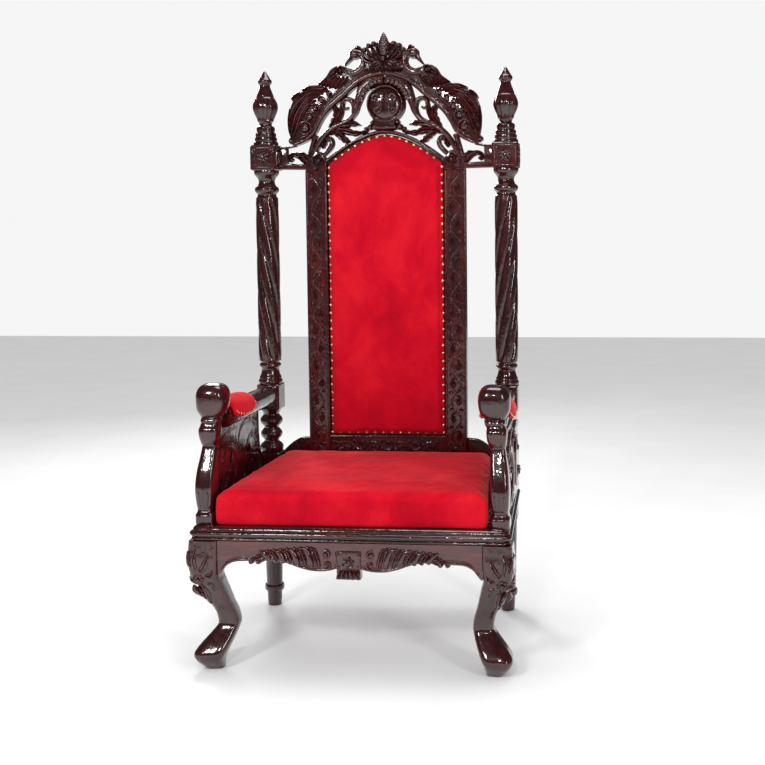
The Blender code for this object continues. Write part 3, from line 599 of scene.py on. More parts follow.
def rear_post():
    """The post from the floor to its finial, with a rosette on each side of the top block."""
    rings = turned(0.0, leg_turning, 60) + block_rings(*seat_block)
    rings += turned(seat_block[1], baluster_turning, 80) + block_rings(*arm_block)
    rings += turned(arm_block[1], foot_turning, 60) + rope_rings()
    rings += turned(rope_high, collar_turning, 64) + block_rings(*top_block)
    rings += turned(top_block[1], steps_turning, 90) + urn_rings(top_block[1])
    rings += turned(top_block[1], spire_turning, 70)
    solids = [skin(rings)]
    for facing in (lambda u, v, w: (u, -w, v), lambda u, v, w: (w, u, v),
                   lambda u, v, w: (-w, -u, v), lambda u, v, w: (-u, w, v)):
        solids += turned_about(block_panel(*top_block), facing)
    return solids


def post_place_within(x, y, z):
    """The leaned post, kept within the depth of its solid."""
    placed = post_place(x, y, z)
    return (placed[0], min(placed[1], post_high.y), placed[2])


pair("post_turned", rear_post(), post_place_within, wood, "rear_post", sharp=35)


# Front legs

leg_height = seat_underside - glue_gap
knee_reach = leg_high.x
leg_front = -0.334
leg_profile = (
    # share of the leg's height, outer reach from the knee's, width
    (1.0, -0.0045, 0.0805), (0.93, -0.0025, 0.0825), (0.84, 0.0, 0.085), (0.735, -0.0045, 0.0805),
    (0.685, -0.01, 0.08), (0.6, -0.027, 0.0705), (0.5, -0.043, 0.0635),
    (0.42, -0.0555, 0.06), (0.345, -0.0605, 0.0595), (0.305, -0.0565, 0.062),
    (0.24, -0.036, 0.075), (0.18, -0.017, 0.085), (0.13, -0.007, 0.087), (0.08, -0.013, 0.073),
    (0.03, -0.028, 0.054), (0.0, -0.037, 0.044))


def leg_reach(share):
    """Outer reach of the leg at a share of its height."""
    for a, b in zip(leg_curve, leg_curve[1:]):
        if b[0] <= share <= a[0]:
            part = (share - b[0]) / max(a[0] - b[0], 1e-9)
            return b[1] + (a[1] - b[1]) * part
    return leg_curve[0][1]


leg_curve = smooth(leg_profile, 90)


def front_leg():
    """A cabriole leg, squared at the knee and softer below, bowed to the front and the side."""
    to_front = knee_reach + leg_front
    rings = []
    for share, reach, width in leg_curve:
        middle = knee_reach + reach - width / 2
        half = width / 2
        power = 9.0 if share > 0.86 else 3.4 + 5.6 * max(0.0, (share - 0.7) / 0.16)
        foot = max(0.0, 1 - share / 0.26)
        ring = []
        for i in range(64):
            angle = math.tau * (i + 0.5) / 64
            c, s = math.cos(angle), math.sin(angle)
            reach_here = half / (abs(c) ** power + abs(s) ** power) ** (1 / power)
            # the corner towards the chair's outer front is the sharp one, and leads the foot
            corner = max(0.0, math.cos(angle + math.pi / 4)) ** 6
            reach_here *= 1 + 0.16 * foot * corner
            # a hollow down each front-facing side of the shin
            hollow = max(0.0, 1 - abs(share - 0.46) / 0.3)
            for facing in (-math.pi / 2, 0.0):
                away = math.atan2(math.sin(angle - facing), math.cos(angle - facing))
                reach_here *= 1 - 0.03 * hollow * math.exp(-(away / 0.3) ** 2)
            ring.append((middle + reach_here * c, -(middle - to_front) + reach_here * s,
                         leg_height * share))
        rings.append(ring)
    return skin(rings)


def on_leg(side):
    """Places a drawing (across from the knee's outer edge, share of height) on a leg's face."""
    to_front = knee_reach + leg_front

    def put(across, share, out):
        face = knee_reach + leg_reach(share)
        if side == "front":
            return (knee_reach + across, -(face - to_front) - out, leg_height * share)
        return (min(face + out, leg_high.x), -(knee_reach + across) + to_front,
                leg_height * share)
    return put


knee_leaves = (
    # points as distance from the knee's edge and share of the height, half widths, rise, lobes
    (((-0.036, 0.765), (-0.053, 0.83), (-0.062, 0.915)), (0.005, 0.01, 0.007, 0.002), 0.005, 3),
    (((-0.026, 0.775), (-0.02, 0.86), (-0.028, 0.955)), (0.004, 0.009, 0.007, 0.002), 0.0052, 3),
    (((-0.014, 0.8), (-0.006, 0.86), (-0.008, 0.93)), (0.004, 0.007, 0.002), 0.003, 2),
    (((-0.05, 0.74), (-0.066, 0.745), (-0.073, 0.79)), (0.004, 0.008, 0.002), 0.0045, 2),
    (((-0.052, 0.68), (-0.066, 0.655), (-0.07, 0.6)), (0.004, 0.008, 0.002), 0.0045, 2),
    (((-0.038, 0.645), (-0.048, 0.58), (-0.052, 0.49)), (0.005, 0.01, 0.007, 0.002), 0.005, 3),
    (((-0.024, 0.64), (-0.032, 0.58), (-0.04, 0.53)), (0.004, 0.007, 0.002), 0.004, 2),
    (((-0.014, 0.66), (-0.012, 0.61), (-0.02, 0.57)), (0.003, 0.006, 0.002), 0.003, 0))


def knee_carving(side):
    """Flower, leaves and a tendril that grip the knee, drawn on one face of the leg."""
    put = on_leg(side)
    tall = leg_height
    sunk = -0.007
    made = flower(-0.031, 0.705 * tall, 0.0185, sunk, 0.0045, 5, 0.6)
    for points, widths, rise, lobes in knee_leaves:
        made.append(stroke([(x, share * tall) for x, share in points], widths, sunk,
                           [rise * 0.6, rise, 0.001], veined_section, 14, lobes))
    made.append(curl((-0.04, 0.79 * tall), 0.009, 200, 1.1, 0.0022, sunk, 0.0042))
    return turned_about(made, lambda u, v, w: put(u, v / tall, w))


def leg_place(x, y, z):
    """The leg, kept within the sides of its solid."""
    return (min(x, leg_high.x), max(y, leg_low.y), z)


pair("leg_cabriole", [front_leg()] + knee_carving("front") + knee_carving("side"), leg_place,
     wood, "front_leg", sharp=50)


# Seat board and aprons

board_nose_y = seat_low.y


def seat_outline(step, corner_steps=8):
    """The board's outline, moved inwards, with notches for the rear posts."""
    rear_y = seat_high.y
    notch_y = lean(seat_underside) - seat_block_half - glue_gap
    notch_x = post_x - seat_block_half - glue_gap
    radius = 0.022
    corner_x = seat_high.x - step - radius
    corner_y = board_nose_y + step + radius
    half = []
    for i in range(corner_steps + 1):
        angle = math.radians(-90 + 90 * i / corner_steps)
        half.append((corner_x + radius * math.cos(angle), corner_y + radius * math.sin(angle)))
    half += [(seat_high.x - 0.0195 - step, notch_y), (notch_x, notch_y), (notch_x, rear_y)]
    return half + [(-x, y) for x, y in reversed(half)]


def seat_board():
    """Moulded: a torus below, a fillet, a fine bead and a thumbnail on top."""
    steps = [(0.0, 0.011), (0.07, 0.0065)]
    steps += [(0.07 + 0.17 * (1 - math.cos(math.pi * i / 8)) / 2,
               0.0075 - 0.0035 * math.sin(math.pi * i / 8)) for i in range(9)]
    steps += [(0.25, 0.0105), (0.31, 0.0105)]
    steps += [(0.33 + 0.36 * (1 - math.cos(math.pi * i / 12)) / 2,
               0.0085 - 0.0085 * math.sin(math.pi * i / 12) ** 0.8) for i in range(13)]
    steps += [(0.7, 0.0095), (0.745, 0.0095), (0.75, 0.0075)]
    steps += [(0.75 + 0.25 * i / 6, 0.0075 + 0.007 * (i / 6) ** 2.2) for i in range(1, 7)]
    rings = []
    for share, step in steps:
        height = seat_underside + (seat_top - seat_underside) * share
        rings.append([(x, y, height) for x, y in seat_outline(step)])
    return skin(rings)


piece("seat_board_moulded", [seat_board()], as_drawn, wood_across, "seat_board", sharp=30)


apron_face = 0.026
apron_back_y = board_nose_y + 0.01 + apron_face
apron_half = apron_high.x
apron_top = apron_high.z
apron_edge = (
    (1.0, -0.097), (0.974, -0.088), (0.946, -0.073), (0.905, -0.062), (0.858, -0.056),
    (0.768, -0.054), (0.64, -0.052), (0.55, -0.0515), (0.46, -0.059), (0.375, -0.07),
    (0.29, -0.0775), (0.21, -0.079), (0.14, -0.076), (0.0945, -0.071))


def front_place(across, up, out):
    return (across, apron_back_y - out, up)


def at_apron(x, drop):
    return (x, apron_top + drop)


def front_apron():
    """Scalloped board with a moulded lower edge, gadroon fans and a rosette over a palmette."""
    face = apron_face
    edge = smooth([at_apron(apron_half * share, drop) for share, drop in apron_edge], 48)
    tongue = [at_apron(*spot) for spot in ((0.033, -0.071), (0.033, -0.1), (-0.033, -0.1),
                                           (-0.033, -0.071))]
    outline = ([at_apron(apron_half, 0.0)] + edge + tongue
               + [(-x, z) for x, z in reversed(edge)] + [at_apron(-apron_half, 0.0)])
    # mouldings along the lower edge
    bead = [at_apron(apron_half * share, drop + 0.0045) for share, drop in apron_edge]
    half = [moulding(bead[1:], 0.0036, face - 0.004, face + 0.0034, 70, 0.8),
            moulding([(x, z + 0.0072) for x, z in bead[2:]], 0.0016, face - 0.003,
                     face + 0.0016, 60, 0.8)]
    # gadroon fan: lobes that lean outwards and shorten away from the middle
    for i in range(8):
        share = i / 7
        x = 0.086 + 0.135 * share
        drop = -0.012 - 0.012 * share
        foot = -0.07 + 0.016 * share
        path = [at_apron(x + 0.026 - 0.004 * share, drop), at_apron(x + 0.01, drop - 0.008),
                at_apron(x + 0.001, (drop + foot) / 2 - 0.004), at_apron(x - 0.004, foot)]
        half.append(stroke(path, [0.0045, 0.0078, 0.0085, 0.0065], face - 0.006,
                           [face + 0.004, face + 0.0085, face + 0.0095, face + 0.006],
                           round_section if i % 2 else veined_section))
        half.append(boss(*at_apron(x + 0.027 - 0.004 * share, drop - 0.001), 0.005,
                         face - 0.005, face + 0.0062, sides=12, levels=4))
    # scrolls that end the fan on both sides
    for x, drop, radius, start, turns, width, rise, knob, knob_rise in (
            (0.062, -0.032, 0.0125, 60, 1.25, 0.0042, 0.008, 0.0075, 0.0092),
            (0.06, -0.06, 0.0115, -80, -1.1, 0.0038, 0.007, 0.0065, 0.0085)):
        spot = at_apron(x, drop)
        half.append(curl(spot, radius, start, turns, width, face - 0.005, face + rise))
        half.append(boss(*spot, knob, face - 0.005, face + knob_rise))
    leaf = [at_apron(*spot) for spot in ((0.232, -0.03), (0.246, -0.038), (0.262, -0.048),
                                         (0.284, -0.05))]
    half.append(stroke(leaf, [0.004, 0.0065, 0.005, 0.002], face - 0.005,
                       [face + 0.004, face + 0.006, face + 0.002], veined_section, lobes=4))
    leaf = [at_apron(*spot) for spot in ((0.226, -0.046), (0.24, -0.051), (0.252, -0.056))]
    half.append(stroke(leaf, [0.004, 0.005, 0.003], face - 0.005, [face + 0.004, face + 0.005],
                       veined_section, 10))
    for x, drop, radius in ((0.271, -0.056, 0.0085), (0.251, -0.056, 0.0085),
                            (0.239, -0.052, 0.005)):
        half.append(boss(*at_apron(x, drop), radius, face - 0.018, face + 0.0065))
    solids = [slab(outline, 0.0, face)] + half + [mirrored(solid) for solid in half]
    # the square with its flower, and the palmette below
    square = [at_apron(*spot) for spot in ((-0.0335, -0.024), (0.0335, -0.024), (0.031, -0.071),
                                           (-0.031, -0.071))]
    solids.append(slab(square, 0.004, face + 0.0045, 0.002))
    solids += edging(square, 0.0022, face, face + 0.0068, 8)
    solids += flower(*at_apron(0.0, -0.052), 0.0185, face, face + 0.011, 6)
    solids.append(boss(*at_apron(0.0, -0.052), 0.0095, face, face + 0.016))
    for x, drop in ((-0.0265, -0.031), (-0.0255, -0.064), (0.0265, -0.031), (0.0255, -0.064)):
        solids.append(boss(*at_apron(x, drop), 0.004, face, face + 0.0075, sides=10, levels=3))
    for i in range(5):
        x = 0.0125 * (i - 2)
        path = [at_apron(x * 0.45, -0.07), at_apron(x * 0.95, -0.084),
                at_apron(x * 1.18, -0.1015)]
        solids.append(stroke(path, [0.004, 0.0068, 0.0062], face - 0.01,
                             [face + 0.006, face + 0.0105, face + 0.006], hollow_section, 10))
    return solids


piece("apron_carved", front_apron(), front_place, wood_across, "front_apron", sharp=50)


# Arms

arm_x = (rest_low.x + rest_high.x) / 2 + 0.0005
arm_post_front = board_nose_y + 0.034
knob_back = board_nose_y + 0.142
arm_post_profile = (
    # share of the height, x from the arm's, half width, front and back behind the base's front
    (0.0, 0.019, 0.0275, 0.0, 0.071), (0.058, 0.019, 0.0275, 0.0, 0.071),
    (0.066, 0.019, 0.0265, 0.002, 0.07), (0.085, 0.02, 0.0225, 0.008, 0.067),
    (0.105, 0.02, 0.0222, 0.009, 0.067), (0.135, 0.0195, 0.024, 0.005, 0.069),
    (0.2, 0.019, 0.0262, 0.001, 0.071),
    (0.27, 0.019, 0.0265, 0.0, 0.074), (0.37, 0.017, 0.0255, 0.01, 0.074),
    (0.47, 0.014, 0.0225, 0.027, 0.074), (0.545, 0.012, 0.0203, 0.038, 0.074),
    (0.565, 0.0115, 0.0225, 0.035, 0.075), (0.6, 0.01, 0.0262, 0.027, 0.077),
    (0.64, 0.0097, 0.0278, 0.021, 0.079), (0.675, 0.009, 0.0276, 0.021, 0.079),
    (0.7, 0.008, 0.0255, 0.027, 0.081), (0.722, 0.0075, 0.0242, 0.0295, 0.0815),
    (0.73, 0.007, 0.0262, 0.028, 0.082), (0.745, 0.006, 0.0266, 0.03, 0.083),
    (0.76, 0.005, 0.0262, 0.034, 0.085), (0.768, 0.0045, 0.0305, 0.03, 0.088),
    (0.79, 0.0035, 0.037, 0.024, 0.093), (0.82, 0.003, 0.0418, 0.019, 0.099),
    (0.87, 0.002, 0.044, 0.016, 0.105), (0.92, 0.002, 0.0434, 0.0165, 0.107),
    (0.955, 0.002, 0.0395, 0.021, 0.104), (0.98, 0.002, 0.0325, 0.029, 0.097),
    (0.994, 0.002, 0.022, 0.041, 0.085), (1.0, 0.002, 0.008, 0.057, 0.069))


def boxed_ring(cx, cy, half_x, half_y, height, power, sides=48):
    """A ring between an oval and a box; the higher the power, the squarer."""
    ring = []
    for c, s in spokes(sides, 0.5):
        reach = (abs(c) ** power + abs(s) ** power) ** (-1 / power)
        ring.append((cx + half_x * reach * c, cy + half_y * reach * s, height))
    return ring


def arm_post():
    """The S-shaped support with its knob, and a carved tongue down the front of its bulge."""
    low = knob_low.z
    height = knob_high.z - low
    rings = []
    for share, x, half, front, back in smooth(arm_post_profile, 150):
        power = 3.0 if share > 0.77 else 4.2
        rings.append(boxed_ring(arm_x + x, arm_post_front + (front + back) / 2, half,
                                (back - front) / 2, low + height * share, power))
    drawn = []
    for x, tall in ((-0.013, 0.15), (0.0, 0.19), (0.013, 0.15)):
        path = [(arm_x + 0.0185 + x * 0.6, low + height * 0.115),
                (arm_x + 0.0185 + x, low + height * 0.2),
                (arm_x + 0.017 + x * 0.7, low + height * (0.115 + tall + 0.06))]
        drawn.append(stroke(path, [0.001, 0.0034, 0.001], -0.014, [-0.004, 0.0014, -0.012],
                            steps=12))
    return [skin(rings)] + turned_about(drawn, lambda u, v, w: (u, arm_post_front - w, v))


def arm_rest():
    """The arm's beam, oval in section, thinning a little towards the rear and at its ends."""
    rear = lean(rest_low.z) - arm_block_half - glue_gap
    middle = (rest_low.z + rest_high.z) / 2
    start = knob_back + glue_gap
    rings = []
    for i in range(33):
        share = i / 32
        end = min(share, 1 - share)
        swell = 1.0 - 0.06 * max(0.0, 1 - end / 0.03) - 0.1 * share ** 2
        x = arm_x + (post_x - arm_x) * share
        y = start + (rear - start) * share
        ring = boxed_ring(x, middle, 0.033 * swell, 0.031 * swell, y, 2.8, 40)
        rings.append([(u, w, v) for u, v, w in ring])
    return [skin(rings)]


pair("arm_post_carved", arm_post(), as_drawn, wood, "arm_post", sharp=50)
pair("arm_beam", arm_rest(), as_drawn, wood_deep, "arm_rest", sharp=50)


# Pierced panels under the arms, drawn on the YZ plane

panel_inner = panel_low.x
panel_outer = panel_inner + 0.026
panel_front = arm_post_front + 0.08
panel_rear = lean(seat_top) - seat_block_half - glue_gap
panel_foot = panel_low.z
panel_head = panel_high.z


def at_panel(y, z):
    """Shares of the panel's length from its middle, and of its height."""
    return ((panel_front + panel_rear) / 2 + y * (panel_rear - panel_front),
            panel_foot + z * (panel_head - panel_foot))


def flat_piece(outline, holes, low, high, bevel):
    """A board cut out along smooth outlines, with holes, its edges rounded over."""
    data = bpy.data.curves.new("board", "CURVE")
    data.dimensions = "2D"
    data.fill_mode = "BOTH"
    data.extrude = (high - low) / 2 - bevel
    data.bevel_depth = bevel
    data.bevel_resolution = 2
    for line in [outline] + holes:
        spline = data.splines.new("POLY")
        spline.points.add(len(line) - 1)
        for point, (u, v) in zip(spline.points, line):
            point.co = (u, v, 0.0, 1.0)
        spline.use_cyclic_u = True
    holder = add_object("board", data)
    mesh = bpy.data.meshes.new_from_object(
        holder.evaluated_get(bpy.context.evaluated_depsgraph_get()))
    middle = (low + high) / 2
    corners = [(v.co.x, v.co.y, v.co.z + middle) for v in mesh.vertices]
    faces = [tuple(face.vertices) for face in mesh.polygons]
    bpy.data.objects.remove(holder)
    bpy.data.meshes.remove(mesh)
    return corners, faces


def oval(centre, size, thin, tilt):
    """A tilted oval round a point."""
    ring = []
    for c, s in spokes(18):
        u, v = size * c, thin * size * s
        ring.append((centre[0] + u * math.cos(tilt) - v * math.sin(tilt),
                     centre[1] + u * math.sin(tilt) + v * math.cos(tilt)))
    return ring


panel_openings = ((-0.35, 0.34, 0.13, 0.5), (0.022, 0.34, 0.145, 1.5), (-0.21, 0.58, 0.097, 1.2),
                  (0.158, 0.58, 0.097, -0.8), (0.245, 0.34, 0.105, 2.4))
panel_scrolls = (
    # points, half widths, share of the carving's height, steps, lobes
    (((-0.46, 0.07), (-0.3, 0.12), (-0.16, 0.24), (-0.09, 0.48), (-0.17, 0.7), (-0.3, 0.72),
      (-0.36, 0.6)), (0.004, 0.009, 0.011, 0.01, 0.005), 1.0, 34, 0),
    (((-0.3, 0.12), (-0.2, 0.07), (-0.05, 0.1), (0.06, 0.06)), (0.004, 0.009, 0.006),
     0.8, 22, 5),
    (((0.4, 0.08), (0.27, 0.12), (0.14, 0.26), (0.09, 0.5), (0.17, 0.7), (0.27, 0.68),
      (0.3, 0.56)), (0.004, 0.009, 0.011, 0.009, 0.005), 1.0, 34, 0),
    (((-0.46, 0.3), (-0.44, 0.55), (-0.39, 0.8), (-0.24, 0.91), (-0.08, 0.9)),
     (0.005, 0.009, 0.01, 0.007, 0.003), 0.9, 30, 6),
    (((0.36, 0.8), (0.22, 0.9), (0.04, 0.9), (-0.05, 0.78), (-0.04, 0.64)),
     (0.003, 0.007, 0.009, 0.007, 0.004), 0.9, 28, 5),
    (((0.02, 0.12), (0.03, 0.2), (0.02, 0.56), (0.03, 0.74)), (0.003, 0.006, 0.007, 0.002),
     0.7, 24, 6),
    (((-0.3, 0.46), (-0.22, 0.42), (-0.16, 0.33)), (0.003, 0.007, 0.003), 0.7, 22, 0),
    (((0.36, 0.3), (0.3, 0.22), (0.2, 0.16)), (0.003, 0.007, 0.003), 0.7, 22, 0))


def panel_carving(low, high, outer):
    """Scrolls and leaves over one face of the panel."""
    made = []
    for points, widths, rise, steps, lobes in panel_scrolls:
        top = low + (high - low) * rise
        end = low + (top - low) * 0.7
        made.append(stroke([at_panel(*spot) for spot in points], widths, low, [end, top, end],
                           veined_section, steps, lobes))
    for y, z, r in ((-0.36, 0.6, 0.01), (0.3, 0.56, 0.009), (-0.045, 0.62, 0.008)):
        made.append(boss(*at_panel(y, z), r, low, high + 0.001))
    made += flower(*at_panel(-0.42, 0.18), 0.016, low, high, 6)
    made += flower(*at_panel(0.4, 0.24), 0.015, low, high, 6)
    if outer:
        made += flower(*at_panel(0.02, 0.8), 0.017, low, high, 6)
    return made


def arm_panel():
    """The pierced board with its carving, deeper on the outer face."""
    outline = [(panel_front, panel_foot), (panel_rear, panel_foot)]
    tall = panel_head - panel_foot
    outline += [(panel_rear, panel_foot + 0.24 * tall), (panel_rear, panel_foot + 0.3 * tall)]
    bend = [(panel_rear - 0.052 * share, panel_foot + rise * tall) for share, rise in
            ((0.0, 0.3), (0.3, 0.345), (0.62, 0.42), (0.86, 0.55), (1.0, 0.7))]
    outline += smooth(bend, 14)[1:]
    outline += [(panel_rear - 0.052, panel_head), (panel_front, panel_head)]
    holes = [oval(at_panel(y, z), size * tall, 0.5, tilt) for y, z, size, tilt in panel_openings]
    solids = [flat_piece(outline, holes, panel_inner, panel_outer - 0.001, 0.0015)]
    solids += panel_carving(panel_outer - 0.003, panel_outer + 0.0065, True)
    inner = turned_about(panel_carving(0.0, 0.0034, False),
                         lambda u, v, w: (u, v, panel_inner + 0.0012 - w))
    return solids + inner


pair("arm_panel_pierced", arm_panel(), side_place, wood, "arm_panel", sharp=45)


# Back frame

def arch_height(x):
    """Height of the pad's arch above a point across."""
    share = min(abs(x) / pad_half_width, 1.0)
    return frame_top + pad_arch_above_frame - pad_arch_rise * share ** arch_power


def arch_line(move, steps=40):
    """The pad's arch from right to left, moved outwards."""
    points = []
    for i in range(steps + 1):
        x = pad_half_width * math.cos(math.pi * i / steps)
        slope = arch_power * pad_arch_rise / pad_half_width
        slope *= (abs(x) / pad_half_width) ** (arch_power - 1)
        side = math.copysign(slope / math.hypot(1.0, slope), x)
        points.append((x + side * move, arch_height(x) + move / math.hypot(1.0, slope)))
    return points


def scroll_vine(low, high, centre, swing, face, waves):
    """A running vine: a waving stem, and in each bend a scroll with its leaves and bud."""
    count = 2 * waves
    span = (high - low) / count
    sunk = face - 0.004

    def bend(i, *spots):
        """Points in one bend, across in swings and up in spans."""
        side = swing if i % 2 == 0 else -swing
        return [(centre + side * across, low + span * (i + up)) for across, up in spots]

    stem = [(centre + swing * math.cos(math.pi * k / 6), low + span * k / 6)
            for k in range(6 * count + 1)]
    made = [stroke(stem, [0.003, 0.0034, 0.003], sunk, [face + 0.0032] * 2, steps=12 * count,
                   blunt=0.8)]
    for i in range(count):
        scroll = bend(i, (0.72, 0.3), (0.05, 0.4), (-0.75, 0.28), (-0.95, 0.02),
                      (-0.45, -0.14), (-0.05, 0.02))
        made.append(stroke(scroll, [0.0022, 0.0034, 0.0038, 0.0034, 0.0026], sunk,
                           [face + 0.003, face + 0.0042, face + 0.0035], veined_section, 26))
        made += flower(*bend(i, (-0.42, 0.1))[0], 0.0068, sunk, face + 0.004, 5)
        for leaf, widths, rise in (
                (((0.55, 0.5), (1.1, 0.6), (1.55, 0.48)), [0.0016, 0.005, 0.0012], 0.0045),
                (((-0.15, 0.56), (-0.85, 0.63), (-1.45, 0.46)), [0.0014, 0.0042, 0.0012],
                 0.0038)):
            made.append(stroke(bend(i, *leaf), widths, sunk,
                               [face + 0.002, face + rise, face + 0.0004], hollow_section, 14, 3))
    return made


def frame_bead(points):
    """The bead along an edge of the frame."""
    return moulding(points, 0.0028, frame_thickness - 0.004, frame_thickness + 0.0018, 8, 1.0)


def back_stile():
    low, high = stile_low.z, frame_top
    inner, outer = pad_half_width, frame_half_width
    outline = [(inner, low), (outer, low), (outer, high), (inner, high)]
    solids = [slab(outline, 0.0, frame_thickness - 0.001, 0.0015)]
    centre = (inner + outer) / 2
    solids += scroll_vine(pad_foot - 0.06, high - 0.005, centre, 0.015, frame_thickness, 8)
    for x in (inner + 0.0042, outer - 0.0042):
        solids.append(frame_bead([(x, low + 0.004), (x, (low + high) / 2), (x, high - 0.004)]))
    return solids


def back_bottom_rail():
    low = seat_top + glue_gap
    half = pad_half_width - glue_gap
    outline = [(-half, low), (half, low), (half, pad_foot), (-half, pad_foot)]
    solids = [slab(outline, 0.0, frame_thickness - 0.001, 0.0015)]
    vine = scroll_vine(-half + 0.008, half - 0.008, 0.0, 0.0125, frame_thickness, 4)
    solids += turned_about(vine, lambda u, v, w: (v, pad_foot - 0.034 - u, w))
    for z in (pad_foot - 0.0045, pad_foot - 0.063):
        solids.append(frame_bead([(-half + 0.003, z), (0.0, z), (half - 0.003, z)]))
    return solids


pair("stile_carved", back_stile(), back_place, wood, "back_stile", sharp=50)
piece("bottom_rail_carved", back_bottom_rail(), back_place, wood_across, "back_bottom_rail",
      sharp=50)


def lower_panel():
    """The humped board between the frame and the post."""
    low = seat_top + glue_gap
    inner = frame_half_width + glue_gap
    outer = post_x - seat_block_half - glue_gap
    hump = [(inner + (outer - inner) * share, seat_top + rise) for share, rise in
            ((1.0, 0.088), (0.84, 0.105), (0.62, 0.122), (0.36, 0.135), (0.0, 0.139))]
    outline = [(inner, low), (outer, low)] + smooth(hump, 20)
    return [slab(outline, 0.006, 0.024, 0.0022)]


pair("lower_board", lower_panel(), back_place, wood, "lower_panel", sharp=35)


# Crest, drawn as across and height above the frame's top

crest_thickness = 0.034
crest_top_edge = (
    (0.0, 0.383), (0.024, 0.396), (0.05, 0.386), (0.068, 0.366), (0.069, 0.348), (0.064, 0.33),
    (0.071, 0.316), (0.09, 0.3115), (0.112, 0.3135), (0.123, 0.3235), (0.138, 0.3275),
    (0.154, 0.32), (0.168, 0.306), (0.18, 0.284), (0.196, 0.272), (0.2115, 0.2685),
    (0.2105, 0.263), (0.236, 0.2625), (0.2625, 0.254), (0.2605, 0.2475), (0.28, 0.238),
    (0.2965, 0.2235), (0.2915, 0.218), (0.301, 0.195), (0.3045, 0.165), (0.3035, 0.13),
    (0.299, 0.104), (0.293, 0.079))
crest_under_edge = (
    (0.27, 0.084), (0.245, 0.096), (0.224, 0.115), (0.208, 0.148), (0.186, 0.18),
    (0.156, 0.208), (0.121, 0.236), (0.104, 0.257), (0.08, 0.273), (0.05, 0.287), (0.0, 0.297))
berry_row = ((0.176, 0.238, 0.0085), (0.199, 0.219, 0.0095), (0.219, 0.195, 0.0105),
             (0.237, 0.168, 0.0115), (0.252, 0.134, 0.015))
medal_x, medal_z = 0.003, 0.206
crest_widening = 1.25


def at_crest(x, rise):
    return (x, frame_top + rise)


def on_crest(*points):
    return [at_crest(*point) for point in points]


def bud():
    """A pointed bud with rows of scales."""
    profile = smooth(((0.348, 0.004), (0.354, 0.0105), (0.364, 0.0155), (0.378, 0.0188),
                      (0.39, 0.0182), (0.402, 0.015), (0.414, 0.0095), (0.4235, 0.0038),
                      (0.4275, 0.0006)), 60)
    rings = []
    for i, (z, radius) in enumerate(profile):
        shift = math.pi / 2 if int(i / 5) % 2 else 0.0
        ring = []
        for j in range(48):
            angle = math.tau * j / 48
            scale = abs(math.sin(i * math.pi / 5.0)) * abs(math.cos(4 * angle + shift))
            reach = radius * (0.9 + 0.13 * scale)
            ring.append((reach * math.cos(angle), frame_top + z,
                         crest_thickness - 0.006 + reach * math.sin(angle)))
        rings.append(ring)
    return skin(rings)


